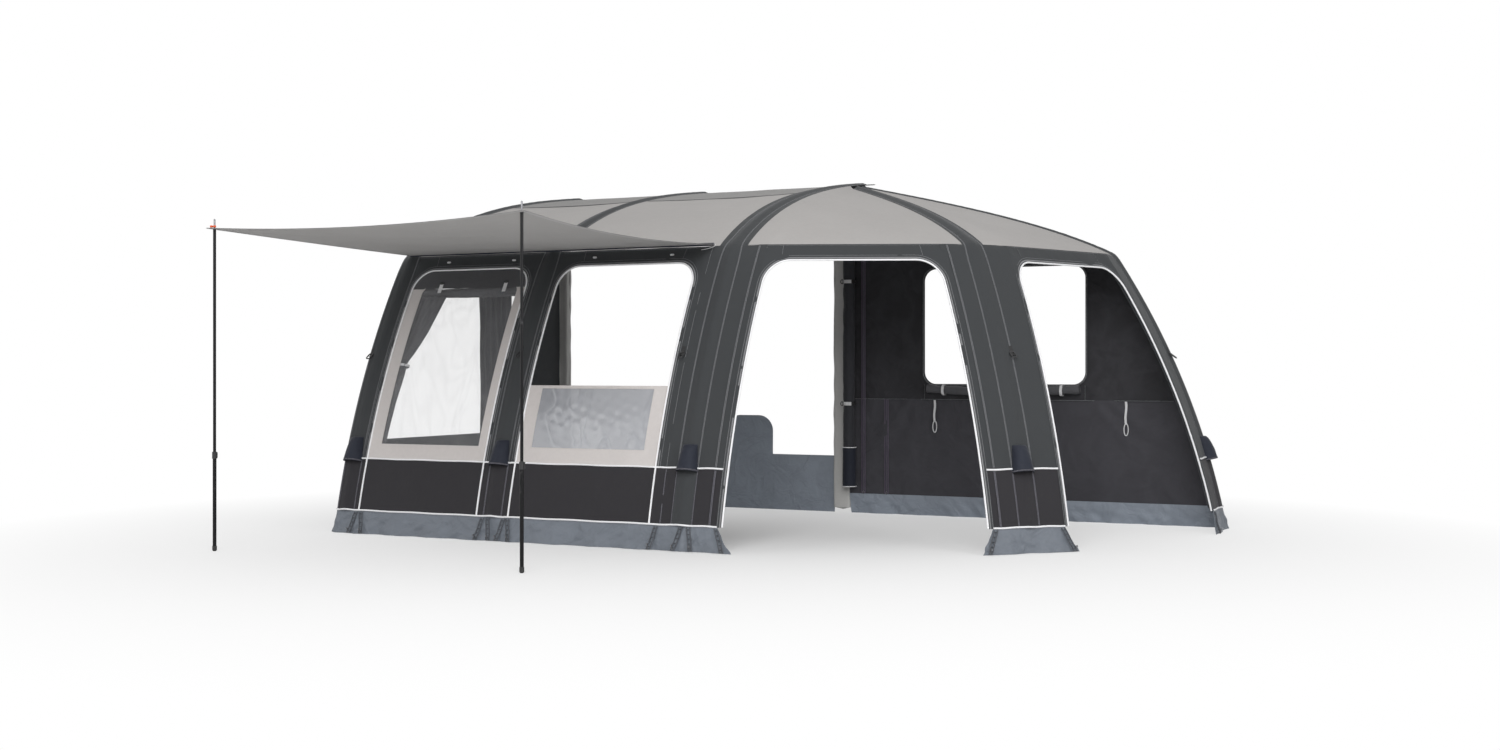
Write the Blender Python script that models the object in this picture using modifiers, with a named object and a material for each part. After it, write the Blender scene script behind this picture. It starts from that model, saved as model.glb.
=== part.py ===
"""Inflatable caravan awning: a box bay section, a fan-shaped wing and a sun canopy.

The awning stands on five air beams in fabric sleeves. Three are parallel and run from the ground
up the front wall and back to the caravan's rail. The other two fan out from the third one and
carry the wing. Front faces -Y, +X runs along the caravan and the origin is under the middle.
"""

import math

import bmesh
import bpy
from mathutils import Matrix, Vector

# Overall form, in metres from the centre of the fan, which lies under the rail side
rail_height = 2.50
rail_back = 0.25
eave_height = 1.88
eave_reach = 1.99
foot_reach = 2.736
wall_bow_reach = 2.547
wall_bow_height = 1.00
roof_low_reach = 1.45
roof_low_height = 2.24
roof_high_reach = 0.70
roof_high_height = 2.385
wing_low_reach = 1.50
wing_low_height = 2.13
wing_high_reach = 0.75
wing_high_height = 2.30

# Fabric and seams
fabric = 0.002
foil = 0.001
skirt_sheet = 0.003
seam_gap = 0.0003
seam_step = 0.004
wing_seam_gap = 0.0008
wing_panel_tip = 0.032
weld_distance = 0.00001
skirt_top = 0.149
waist_height = 0.492
pocket_low = 0.40
pocket_high = 0.70
overrun = 0.02

# Legs: how far the first two stand from the third, and the fan's angles
leg_1_out = 2.53
leg_2_out = 1.36
fan_angle = math.radians(90)
quarter_turn = math.radians(90)

# Sleeve half widths below the eave and above it
panel_leg_1_left = 0.13
panel_leg_1_right = 0.08
corner_wrap = 0.10
panel_leg_2 = 0.09
panel_leg_3_left = 0.19
panel_leg_3_right = 0.24
panel_leg_4 = 0.24
panel_leg_5_left = 0.27
rear_wall_back = 0.10
roof_leg_1_right = 0.062
roof_leg_2 = 0.062
roof_leg_3 = 0.10
roof_leg_4 = 0.075
bulge_height = 0.012
bulge_half_low = 0.068
bulge_half_high = 0.05
bulge_shoulder_share = 0.5

# Air beams and their valves
beam_radius = 0.045
beam_slack = 0.002
valve_radius = 0.014
valve_height = 0.022
valve_place_share = 0.5

# Door and window openings
zip_margin = 0.03
door_top = 1.775
door_corner = 0.14
window_border_left = 0.095
window_border_right = 0.065
window_border_low = 0.10
window_border_top = 0.12
window_corner = 0.05
half_panel_top = 0.985
half_border_side = 0.10
half_border_top = 0.018
blind_radius = 0.036
blind_drop = 0.145
blind_sag = 0.003
curtain_width = 0.34
curtain_height = 1.17
curtain_fold = 0.03
curtain_waist = 0.10
curtain_head_share = 0.3
curtain_tie_share = 0.5
curtain_pinch_share = 0.22
curtain_open_share = 0.33
curtain_folds = 4
curtain_rows = 7
curtain_columns = 24

# Left side wall and its window
side_window_low = 0.60
side_window_high = 1.72
side_window_front = 0.32
side_window_back = 0.45
side_window_corner = 0.09
side_wall_back = 0.155

# Wall at the back of the wing
rear_wall_start = 0.04
rear_notch = 0.14
rear_window_left = 0.56
rear_window_right = 1.76
rear_window_low = 0.98
rear_window_high = 1.83
rear_window_corner = 0.09
flap_radius = 0.036
flap_sag = 0.02
flap_inset = 0.03
door_roll_radius = 0.05
door_roll_inset = 0.015
door_roll_low = 0.20
door_roll_drop = 0.28
door_roll_top = rail_height - door_roll_drop

# Foam pads against the caravan
pad_width = 0.14
pad_depth = 0.08
pad_low = 0.02
pad_corner = 0.02
pad_top_drop = 0.16

# Mud skirts
skirt_flare = 0.035
skirt_side_flare = 0.09
skirt_wave = 0.010
skirt_wave_length = 0.30
skirt_seam = 0.02
skirt_middle_share = 0.45

# Skirt along the caravan's base, with its wheel cover
draught_height = 0.43
wheel_cover_rise = 0.30
wheel_cover_left = 1.10
wheel_cover_right = 0.70
wheel_cover_corner = 0.12

# Rail bead
keder_radius = 0.00375
keder_tail = 0.022

# Sun canopy and its poles
canopy_rear_left = leg_1_out
canopy_rear_right = 0.13
canopy_tube = 0.010
pole_left_x = 2.524
pole_left_y = 3.910
pole_right_x = 0.283
pole_right_y = 3.990
pole_height = 1.935
canopy_sheet = 0.002
canopy_margin = 0.035
canopy_left_dip = 0.010
canopy_right_dip = 0.065
canopy_front_dip = 0.035
canopy_sag = 0.04
canopy_edge_curve = 0.05
eyelet_radius = 0.0055
spike_radius = 0.005
spike_height = 0.055
lower_tube_radius = 0.011
tube_wall = 0.0014
upper_tube_radius = 0.009
lower_tube_length = 0.575
tube_insert = 0.15
foot_radius = 0.0135
foot_height = 0.032
foot_flat = 0.009
foot_lip = 0.0012
socket_gap = 0.0004
collar_radius = 0.0145
collar_height = 0.042
collar_lip = 0.005
lug_reach = 0.006
lug_height = 0.006
lug_inset = 0.003
lever_thickness = 0.003
lever_pin_radius = 0.0025
lever_sweep = math.radians(150)

# Valve hoods and turn-buttons
hood_gap = 0.0006
hood_height = 0.17
hood_top_half = 0.047
hood_low_half = 0.072
hood_depth = 0.052
hood_above_valve = 0.085
hood_row_shares = (0, 0.12, 0.3, 0.6, 1)
hood_depth_shares = (0, 0.55, 0.82, 0.97, 1)
button_height = 1.83
button_length = 0.030
button_width = 0.012
button_depth = 0.006
button_bay_1_shares = (0.26, 0.80)
button_bay_2_shares = (0.24, 0.78)

# Counts of rows and columns
wall_steps = 4
roof_steps = 7
arc_steps = 5
canopy_across = 10
canopy_deep = 8
tube_sides = 16
tube_flats = 10
keder_sides = 10
lever_steps = 8
roll_steps = 6
flap_steps = 8
blind_steps = 4
bisections = 40

COLOURS = {
    "graphite": (0.062, 0.066, 0.070, 1),
    "anthracite": (0.032, 0.031, 0.035, 1),
    "grey_skirt": (0.16, 0.175, 0.21, 1),
    "roof_grey": (0.52, 0.50, 0.48, 1),
    "canopy_grey": (0.26, 0.25, 0.24, 1),
    "beige": (0.60, 0.56, 0.54, 1),
    "clear_foil": (0.62, 0.64, 0.66, 1),
    "curtain_grey": (0.10, 0.10, 0.105, 1),
    "beam_blue": (0.25, 0.33, 0.42, 1),
    "navy": (0.013, 0.016, 0.03, 1),
    "pad_grey": (0.30, 0.295, 0.285, 1),
    "black_tube": (0.012, 0.012, 0.013, 1),
    "steel": (0.55, 0.55, 0.56, 1),
    "black_rubber": (0.018, 0.018, 0.018, 1),
    "white_cord": (0.8, 0.8, 0.8, 1),
}
ROUGHNESS = {"clear_foil": 0.15, "black_tube": 0.35, "steel": 0.3, "beam_blue": 0.4}
FABRIC_ROUGHNESS = 0.85
METALLIC = {"steel": 1.0, "black_tube": 0.4}


def clear_scene():
    for obj in list(bpy.data.objects):
        bpy.data.objects.remove(obj)


def make_collection(name):
    collection = bpy.data.collections.new(name)
    bpy.context.scene.collection.children.link(collection)
    return collection


def material(slot):
    made = bpy.data.materials.get(slot)
    if made:
        return made
    made = bpy.data.materials.new(slot)
    made.use_nodes = True
    shader = made.node_tree.nodes["Principled BSDF"]
    shader.inputs["Base Color"].default_value = COLOURS[slot]
    shader.inputs["Roughness"].default_value = ROUGHNESS.get(slot, FABRIC_ROUGHNESS)
    shader.inputs["Metallic"].default_value = METALLIC.get(slot, 0.0)
    return made


clear_scene()
parts = make_collection("caravan_awning")
cutters = make_collection("cutters")
ground_centre = bpy.data.objects.new("ground_centre", None)
parts.objects.link(ground_centre)


def add_piece(name, data, slot):
    """Links an object for one sub-part, held by the empty under the middle of the awning."""
    obj = bpy.data.objects.new(name, data)
    parts.objects.link(obj)
    obj.parent = ground_centre
    data.materials.clear()
    data.materials.append(material(slot))
    return obj


def make_cutter(obj):
    """Turns an object into a hidden cutter."""
    for collection in list(obj.users_collection):
        collection.objects.unlink(obj)
    cutters.objects.link(obj)
    obj.hide_render = True
    obj.display_type = "WIRE"
    return obj


def mesh_from(bm, name):
    mesh = bpy.data.meshes.new(name)
    bm.to_mesh(mesh)
    bm.free()
    return mesh


def loft(rows, facing, closed=False):
    """An open surface through rows of points, its faces turned the way of the facing vector."""
    bm = bmesh.new()
    grid = [[bm.verts.new(point) for point in row] for row in rows]
    for low, high in zip(grid, grid[1:]):
        pairs = list(zip(low, low[1:], high[1:], high))
        if closed:
            pairs.append((low[-1], low[0], high[0], high[-1]))
        for corners in pairs:
            bm.faces.new(corners)
    bm.normal_update()
    if sum((face.normal * face.calc_area() for face in bm.faces), Vector()).dot(facing) < 0:
        bmesh.ops.reverse_faces(bm, faces=bm.faces)
    return bm


def sheet(name, rows, facing, slot, thickness=fabric, closed=False):
    """A sheet of fabric: a loft through rows of points, with its thickness on the facing side."""
    obj = add_piece(name, mesh_from(loft(rows, facing, closed), name), slot)
    wall = obj.modifiers.new("thickness", "SOLIDIFY")
    wall.thickness = thickness
    wall.offset = 1
    wall.use_even_offset = True
    return obj


def flat_outline(name, loops, slot, thickness):
    """A flat piece from closed outlines in its own XY plane; inner outlines are holes."""
    curve = bpy.data.curves.new(name, "CURVE")
    curve.dimensions = "2D"
    curve.fill_mode = "BOTH"
    curve.extrude = thickness / 2
    for loop in loops:
        spline = curve.splines.new("POLY")
        spline.points.add(len(loop) - 1)
        for point, (x, y) in zip(spline.points, loop):
            point.co = (x, y, 0, 1)
        spline.use_cyclic_u = True
    return add_piece(name, curve, slot)


def tube(name, points, radius, slot, resolution=3):
    """A round tube along points, with filled ends."""
    curve = bpy.data.curves.new(name, "CURVE")
    curve.dimensions = "3D"
    curve.bevel_depth = radius
    curve.bevel_resolution = resolution
    curve.use_fill_caps = True
    spline = curve.splines.new("POLY")
    spline.points.add(len(points) - 1)
    for point, place in zip(spline.points, points):
        point.co = (*place, 1)
    return add_piece(name, curve, slot)


def apothem(radius):
    """The distance from a tube's middle to the flats of its sides."""
    return radius * math.cos(math.pi / tube_flats)


def as_mesh(obj):
    """Replaces a curve object by its mesh, with its end caps joined on."""
    bpy.context.view_layer.update()
    graph = bpy.context.evaluated_depsgraph_get()
    mesh = bpy.data.meshes.new_from_object(obj.evaluated_get(graph))
    bm = bmesh.new()
    bm.from_mesh(mesh)
    bmesh.ops.remove_doubles(bm, verts=bm.verts, dist=weld_distance)
    bm.to_mesh(mesh)
    bm.free()
    name = obj.name
    slot = obj.data.materials[0].name
    place = obj.matrix_local.copy()
    bpy.data.objects.remove(obj)
    made = add_piece(name, mesh, slot)
    made.matrix_local = place
    return made


def cylinder_mesh(name, radius, length, sides=tube_sides):
    """A cylinder along Z from its own origin."""
    bm = bmesh.new()
    shape = {"radius1": radius, "radius2": radius, "depth": length}
    bmesh.ops.create_cone(bm, cap_ends=True, segments=sides, **shape)
    bmesh.ops.translate(bm, verts=bm.verts, vec=(0, 0, length / 2))
    return mesh_from(bm, name)


def turned(name, profile, slot, sides=tube_sides):
    """A solid turned about its own Z axis from a profile that runs down the outer side."""
    bm = bmesh.new()
    corners = [bm.verts.new((radius, 0, height)) for radius, height in profile]
    for first, second in zip(corners, corners[1:]):
        bm.edges.new((first, second))
    if profile[0][0] > 0:
        bm.edges.new((corners[-1], corners[0]))
    obj = add_piece(name, mesh_from(bm, name), slot)
    screw = obj.modifiers.new("turn", "SCREW")
    screw.axis = "Z"
    screw.steps = sides
    screw.render_steps = sides
    screw.use_merge_vertices = True
    screw.merge_threshold = weld_distance
    return obj


def boolean(obj, other, operation):
    modifier = obj.modifiers.new(other.name, "BOOLEAN")
    modifier.operation = operation
    modifier.object = other
    modifier.solver = "EXACT"


def cube(name, low, high, slot):
    """A box between two corners."""
    bm = bmesh.new()
    bmesh.ops.create_cube(bm, size=1)
    size = [b - a for a, b in zip(low, high)]
    middle = [(a + b) / 2 for a, b in zip(low, high)]
    bmesh.ops.scale(bm, verts=bm.verts, vec=size)
    bmesh.ops.translate(bm, verts=bm.verts, vec=middle)
    return add_piece(name, mesh_from(bm, name), slot)


def shift(obj, place):
    obj.location = place
    return obj


def mix(a, b, share):
    return a + (b - a) * share


# The legs' outline


def wall_curve(height):
    """The wall's true line: one quadratic arc from the foot to the eave."""
    curve = eave_height - 2 * wall_bow_height
    slope = 2 * wall_bow_height
    share = 2 * height / (slope + math.sqrt(slope * slope + 4 * curve * height))
    rest = 1 - share
    return foot_reach * rest * rest + 2 * wall_bow_reach * share * rest + eave_reach * share * share


def wall_reach(height):
    """How far out the wall stands at a height, on the straight facets that every piece shares."""
    levels = [0, skirt_top, pocket_low, pocket_high]
    levels += [mix(pocket_high, eave_height, n / wall_steps) for n in range(1, wall_steps + 1)]
    for low, high in zip(levels, levels[1:]):
        if height <= high:
            break
    return mix(wall_curve(low), wall_curve(high), (height - low) / (high - low))


def cubic(a, b, c, d, share):
    rest = 1 - share
    return a * rest**3 + 3 * b * share * rest**2 + 3 * c * share**2 * rest + d * share**3


def hub_height():
    return roof_height(0, False)


def roof_height(reach, wing):
    """The height of a roof beam over a place: one cubic arc from the eave to the rail or the hub."""
    if wing:
        reaches = (eave_reach, wing_low_reach, wing_high_reach, 0)
        heights = (eave_height, wing_low_height, wing_high_height, hub_height())
    else:
        reaches = (eave_reach, roof_low_reach, roof_high_reach, -rail_back)
        heights = (eave_height, roof_low_height, roof_high_height, rail_height)
    low, high = 0.0, 1.0
    for _ in range(bisections):
        share = (low + high) / 2
        if cubic(*reaches, share) > reach:
            low = share
        else:
            high = share
    return cubic(*heights, (low + high) / 2)


def wrapped(reach, height):
    """A place on the outline, wrapped back round the corner beam to where the side wall starts."""
    back = min(1, (reach + rail_back) / (eave_reach + rail_back))
    down = min(1, (height - skirt_top) / (eave_height - skirt_top))
    return reach - corner_wrap * back, height - corner_wrap * down


def wall_levels(start, end):
    """Heights of the rows of a wall, the same on every piece, between two heights."""
    steps = [mix(pocket_high, eave_height, n / wall_steps) for n in range(1, wall_steps)]
    levels = (pocket_low, pocket_high, *steps)
    inside = [level for level in levels if start + seam_step < level < end - seam_step]
    return [start, *inside, end]


class Leg:
    """One air beam's plane: where it stands, which way it runs and how wide its sleeve is."""

    def __init__(self, number, out, turn, low, high):
        self.number = number
        self.foot = Vector((-out, 0, 0))
        self.turn = turn
        self.run = Vector((math.sin(turn), -math.cos(turn), 0))
        self.across = Vector((math.cos(turn), math.sin(turn), 0))
        self.low = low
        self.high = high
        self.wing = turn > 0

    def at(self, reach, offset, height):
        return self.foot + self.run * reach + self.across * offset + Vector((0, 0, height))

    def wall(self, offset, height):
        return self.at(wall_reach(height), offset, height)

    def roof(self, offset, reach):
        return self.at(reach, offset, roof_height(reach, self.wing))

    def rise(self, low, high):
        """The direction up the wall between two heights, and the direction out of it."""
        up = (self.wall(0, high) - self.wall(0, low)).normalized()
        return up, up.cross(self.across) * -1


rear_edge = rear_wall_back - seam_gap
legs = [
    Leg(1, leg_1_out, 0, (panel_leg_1_left, panel_leg_1_right), (panel_leg_1_left, roof_leg_1_right)),
    Leg(2, leg_2_out, 0, (panel_leg_2, panel_leg_2), (roof_leg_2, roof_leg_2)),
    Leg(3, 0, 0, (panel_leg_3_left, panel_leg_3_right), (roof_leg_3, roof_leg_3)),
    Leg(4, 0, fan_angle / 2, (panel_leg_4, panel_leg_4), (roof_leg_4, roof_leg_4)),
    Leg(5, 0, fan_angle, (panel_leg_5_left, rear_edge), (roof_leg_4, rear_edge)),
]


def roof_start(leg, offset):
    """Where a roof sleeve ends near the hub, at one place across it."""
    if not leg.wing:
        return -rail_back
    edge = roof_leg_3 + seam_gap
    sine, cosine = math.sin(leg.turn), math.cos(leg.turn)
    start = (edge - offset * cosine) / sine
    if leg.number == 4:
        start = max(start, (offset * sine + roof_leg_4 + seam_gap) / cosine)
    return start


def sleeve_columns(leg):
    """Places across a sleeve: (below the eave, above the eave, share of the bulge)."""
    low_left, low_right = leg.low
    high_left, high_right = leg.high
    return [
        (-low_left, -high_left, 0),
        (-bulge_half_low, -bulge_half_high, 0),
        (-bulge_half_low / 2, -bulge_half_high / 2, bulge_shoulder_share),
        (0, 0, 1),
        (bulge_half_low / 2, bulge_half_high / 2, bulge_shoulder_share),
        (bulge_half_low, bulge_half_high, 0),
        (low_right, high_right, 0),
    ]


def profile_rows(leg, low_offset, high_offset):
    """Points along one column of a sleeve, from its foot to its end on the roof."""
    levels = wall_levels(skirt_top, eave_height)
    points = [leg.wall(low_offset, level) for level in levels]
    start = eave_reach - seam_step
    end = roof_start(leg, high_offset)
    points += [leg.roof(high_offset, mix(start, end, n / roof_steps)) for n in range(roof_steps + 1)]
    return points


def outward(points, leg):
    """The direction out of a leg's outline at each of its points."""
    found = []
    for n, point in enumerate(points):
        before = points[max(n - 1, 0)]
        after = points[min(n + 1, len(points) - 1)]
        along = after - before
        found.append(along.cross(leg.across).normalized() * -1)
    return found


def corner_place(point):
    """A point of the first sleeve's outer edge, wrapped back to the side wall."""
    reach, height = wrapped(-point.y, point.z)
    return Vector((point.x + fabric, -reach, height))


def sleeve(leg):
    """The sleeve of one air beam with the wall panel sewn to it, bulged over the beam."""
    columns = []
    middle = outward(profile_rows(leg, 0, 0), leg)
    for low_offset, high_offset, share in sleeve_columns(leg):
        points = profile_rows(leg, low_offset, high_offset)
        if leg.number == 1 and low_offset == -panel_leg_1_left:
            points = [corner_place(point) for point in points]
        columns.append([p + out * bulge_height * share for p, out in zip(points, middle)])
    return sheet(f"beam_sleeve_{leg.number}", columns, leg.run + Vector((0, 0, 1)), "graphite")


def valve_frame(leg):
    """A place on top of the bulge at the valve, turned with Y up the wall and Z out of it."""
    up, out = leg.rise(pocket_low, pocket_high)
    low = leg.wall(0, pocket_low)
    base = mix(low, leg.wall(0, pocket_high), valve_place_share) + out * (bulge_height + fabric)
    return base, up, out


def frame_matrix(place, across, up, out):
    return Matrix.Translation(place) @ Matrix((across, up, out)).transposed().to_4x4()


def air_beam(leg):
    """The inflated tube inside a sleeve, with its valve standing through the sleeve's eyelet."""
    depth = beam_radius + beam_slack - bulge_height
    outline = profile_rows(leg, 0, 0)
    inward = outward(outline, leg)
    points = [p - out * depth for p, out in zip(outline, inward)]
    beam = as_mesh(tube(f"air_beam_{leg.number}", points, beam_radius, "beam_blue"))
    base, up, out = valve_frame(leg)
    reach = valve_height + bulge_height + fabric + beam_radius
    mesh = cylinder_mesh("valve_stem", valve_radius, reach)
    stem = add_piece(f"valve_stem_{leg.number}", mesh, "beam_blue")
    stem.matrix_local = frame_matrix(base - out * (reach - valve_height), leg.across, up, out)
    boolean(beam, make_cutter(stem), "UNION")
    return beam


def valve_eyelet(leg, panel):
    """Cuts the eyelet that the valve stands in."""
    base, up, out = valve_frame(leg)
    reach = valve_height + bulge_height + beam_radius
    mesh = cylinder_mesh("valve_eyelet", valve_radius + socket_gap, reach)
    hole = add_piece(f"valve_eyelet_{leg.number}", mesh, "steel")
    hole.matrix_local = frame_matrix(base - out * (reach - valve_height), leg.across, up, out)
    boolean(panel, make_cutter(hole), "DIFFERENCE")


def valve_hood(leg):
    """A half-round flap over the valve, sewn along its top edge and open below."""
    rows = []
    for share, deep in zip(hood_row_shares, hood_depth_shares):
        half = mix(hood_top_half, hood_low_half, share)
        row = []
        for n in range(2 * arc_steps + 1):
            turn = math.pi * n / (2 * arc_steps)
            lift = hood_depth * deep * math.sin(turn) - fabric / 2
            row.append(Vector((half * math.cos(turn), -hood_height * share, lift)))
        rows.append(row)
    hood = sheet(f"valve_hood_{leg.number}", rows, Vector((0, 0, 1)), "navy")
    base, up, out = valve_frame(leg)
    hinge = base + up * hood_above_valve + out * (hood_gap + fabric / 2)
    hood.matrix_local = frame_matrix(hinge, leg.across, up, out)
    return hood


# The bays between legs


class Bay:
    """The wall and roof between two legs."""

    def __init__(self, number, left, right):
        self.number = number
        self.left = left
        self.right = right
        self.facing = (left.run + right.run).normalized()

    def edges(self, height):
        first = self.left.wall(self.left.low[1] + seam_gap, height)
        second = self.right.wall(-self.right.low[0] - seam_gap, height)
        return first, second

    def width(self, height):
        first, second = self.edges(height)
        return (second - first).length

    def at(self, inset, height):
        """A point of the wall, a distance in from the left edge."""
        first, second = self.edges(height)
        return mix(first, second, inset / (second - first).length)

    def back(self, inset, height):
        """A point of the wall, a distance in from the right edge."""
        return self.at(self.width(height) - inset, height)

    def inside(self, inset, height, depth):
        """A point behind the wall, a depth in along the wall's own slope."""
        up = self.at(0, height + seam_step) - self.at(0, height - seam_step)
        first, second = self.edges(height)
        out = (second - first).cross(up).normalized()
        return self.at(inset, height) - out * depth


bays = [Bay(n + 1, legs[n], legs[n + 1]) for n in range(4)]


def corner_steps(corner):
    """Steps of a rounded corner, as (distance from the side, distance below the top)."""
    turns = [math.pi / 2 * n / arc_steps for n in range(arc_steps + 1)]
    return [(corner * (1 - math.cos(t)), corner * (1 - math.sin(t))) for t in turns]


def arch(bay, low, top, left, right, corner):
    """An opening's outline on a bay's wall: up the left side, over and down the right side."""
    sides = wall_levels(low, top - corner)[:-1]
    corners = corner_steps(corner)
    points = [bay.at(left, level) for level in sides]
    points += [bay.at(left + aside, top - below) for aside, below in corners]
    points += [bay.back(right + aside, top - below) for aside, below in reversed(corners)]
    points += [bay.back(right, level) for level in reversed(sides)]
    return points


def surround(bay, low):
    """The wall round a door or window: a header under the eave and a hem with the zip."""
    inner = arch(bay, low, door_top, zip_margin, zip_margin, door_corner)
    outer = arch_frame(bay, low, door_top, 0, 0, door_corner, door_corner, low, eave_height)
    return sheet(f"bay_surround_{bay.number}", [outer, inner], bay.facing, "graphite")


def lower_panel(bay):
    rows = []
    for level in wall_levels(skirt_top, waist_height - seam_gap):
        rows.append([bay.at(0, level), bay.back(0, level)])
    return sheet(f"lower_panel_{bay.number}", rows, bay.facing, "anthracite")


def pane(name, bay, low, top, left, right, facing):
    """A foil pane that fills a straight opening."""
    rows = [[bay.at(left, level), bay.back(right, level)] for level in wall_levels(low, top)]
    return sheet(name, rows, facing, "clear_foil", foil)


def square_arch(bay, low, top, left, right):
    """A straight-topped outline with the points of an arch whose corner has no radius."""
    sides = wall_levels(low, top)
    return [bay.at(left, z) for z in sides] + [bay.back(right, z) for z in reversed(sides)]


def arch_frame(bay, low, top, left, right, corner, side, pane_low, pane_top):
    """A straight pane's outline with a point for each point of the arch round it."""
    sides = wall_levels(low, top - corner)[:-1]
    climb = [mix(top - corner, pane_top, n / (arc_steps - 1)) for n in range(arc_steps)]
    climb = [min(level, pane_top) for level in climb]
    rise = [pane_low, *[max(level, pane_low) for level in sides[1:]], *climb]
    points = [bay.at(left, level) for level in rise] + [bay.at(left + side, pane_top)]
    points += [bay.back(right + side, pane_top)] + [bay.back(right, level) for level in reversed(rise)]
    return points


def front_window(bay):
    """The window that closes the first bay: a hemmed border round a clear foil."""
    hem = zip_margin + seam_gap
    top = door_top - seam_gap
    left = hem + window_border_left
    right = hem + window_border_right
    low = waist_height + window_border_low
    high = top - window_border_top
    outer = arch(bay, waist_height, top, hem, hem, door_corner)
    inner = arch_frame(bay, waist_height, top, left, right, door_corner, window_corner, low, high)
    sheet("window_border_1", [outer, inner], bay.facing, "beige", closed=True)
    gap = seam_gap
    pane("window_foil_1", bay, low + gap, high - gap, left + gap, right + gap, bay.facing)


def half_window(bay):
    """The half-height panel that closes the lower part of the second bay."""
    hem = zip_margin + seam_gap
    side = hem + half_border_side
    low = waist_height
    pane_low = low + window_border_low
    pane_top = half_panel_top - half_border_top
    outer = square_arch(bay, low, half_panel_top, hem, hem)
    levels = wall_levels(low, half_panel_top)
    clamped = [min(max(level, pane_low), pane_top) for level in levels]
    inner = [bay.at(side, z) for z in clamped] + [bay.back(side, z) for z in reversed(clamped)]
    sheet("half_panel_border_2", [outer, inner], bay.facing, "beige", closed=True)
    gap = seam_gap
    pane("half_panel_foil_2", bay, pane_low + gap, pane_top - gap, side + gap, side + gap, bay.facing)


def roof_panel(bay):
    """The roof between two sleeves."""
    left, right = bay.left, bay.right
    gap = wing_seam_gap if right.wing else seam_gap
    first = left.high[1] + gap
    second = -right.high[0] - gap
    start = eave_reach - seam_step
    end = -rail_back
    if right.wing:
        spread = right.turn - left.turn
        closing = (first - second) / (2 * math.tan(spread / 2))
        end = closing + wing_panel_tip
    rows = []
    for n in range(roof_steps + 1):
        share = n / roof_steps
        reach = mix(start, end, share)
        row = [left.roof(first, reach), right.roof(second, reach)]
        if right.wing:
            row.insert(1, left.roof(mix(left.low[1], first + seam_step, share), reach))
            row.insert(2, right.roof(mix(-right.low[0], second - seam_step, share), reach))
        rows.append(row)
    return sheet(f"roof_panel_{bay.number}", rows, Vector((0, 0, 1)) + bay.facing, "roof_grey")


# Window blind, curtain and rolled flaps


def blind_roll(bay):
    """The blind rolled up under the head of the window, inside it."""
    inset = zip_margin + window_border_left / 2
    level = door_top - blind_drop
    points = []
    for n in range(blind_steps + 1):
        share = n / blind_steps
        across = mix(inset, bay.width(level) - inset, share)
        sag = blind_sag * math.sin(math.pi * share)
        points.append(bay.inside(across, level - sag, blind_radius + seam_gap * 2))
    return tube("blind_roll_1", points, blind_radius, "curtain_grey")


def curtain(bay):
    """The inside curtain, drawn to the left of the window and tied at its waist."""
    rows = []
    top = door_top - blind_drop - blind_radius * 2
    for n in range(curtain_rows + 1):
        share = n / curtain_rows
        level = top - curtain_height * share
        waist = math.exp(-(((share - curtain_tie_share) / curtain_pinch_share) ** 2))
        pinch = 1 - (1 - curtain_waist / curtain_width) * waist
        fold = curtain_fold * mix(curtain_head_share, 1, min(1, share / curtain_open_share)) * pinch
        slope = fold / 2 / (curtain_width * pinch / curtain_columns)
        crest = fabric * math.hypot(1, slope) + seam_gap
        row = []
        for m in range(curtain_columns + 1):
            across = m / curtain_columns
            inset = zip_margin + overrun + curtain_width * pinch * across
            wave = fold * math.cos(across * math.pi * 2 * curtain_folds)
            row.append(bay.inside(inset, level, crest + fold + wave))
        rows.append(row)
    return sheet("window_curtain_1", rows, bay.facing, "curtain_grey")


# Side wall, rear wall and pads


def rounded_loop(corners, radius):
    """A closed outline through corners, each cut by an arc of one radius."""
    points = []
    count = len(corners)
    for n in range(count):
        here = Vector(corners[n])
        before = (Vector(corners[n - 1]) - here).normalized()
        after = (Vector(corners[(n + 1) % count]) - here).normalized()
        half = before.angle(after) / 2
        run = radius / math.tan(half)
        centre_point = here + (before + after).normalized() * (radius / math.sin(half))
        start = here + before * run - centre_point
        end = here + after * run - centre_point
        for step in range(arc_steps + 1):
            direction = start.slerp(end, step / arc_steps)
            points.append(tuple(centre_point + direction.normalized() * radius))
    return points


def side_outline():
    """The outline of the left side wall, as (distance forward of the fan's centre, height)."""
    points = [wrapped(wall_reach(level), level) for level in wall_levels(skirt_top, eave_height)]
    start = eave_reach - seam_step
    for n in range(roof_steps + 1):
        reach = mix(start, -rail_back, n / roof_steps)
        if reach > -side_wall_back:
            points.append(wrapped(reach, roof_height(reach, False)))
    top = wrapped(-side_wall_back, roof_height(-side_wall_back, False))[1]
    points.append((-side_wall_back, top))
    points.append((-side_wall_back, skirt_top))
    return points


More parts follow.
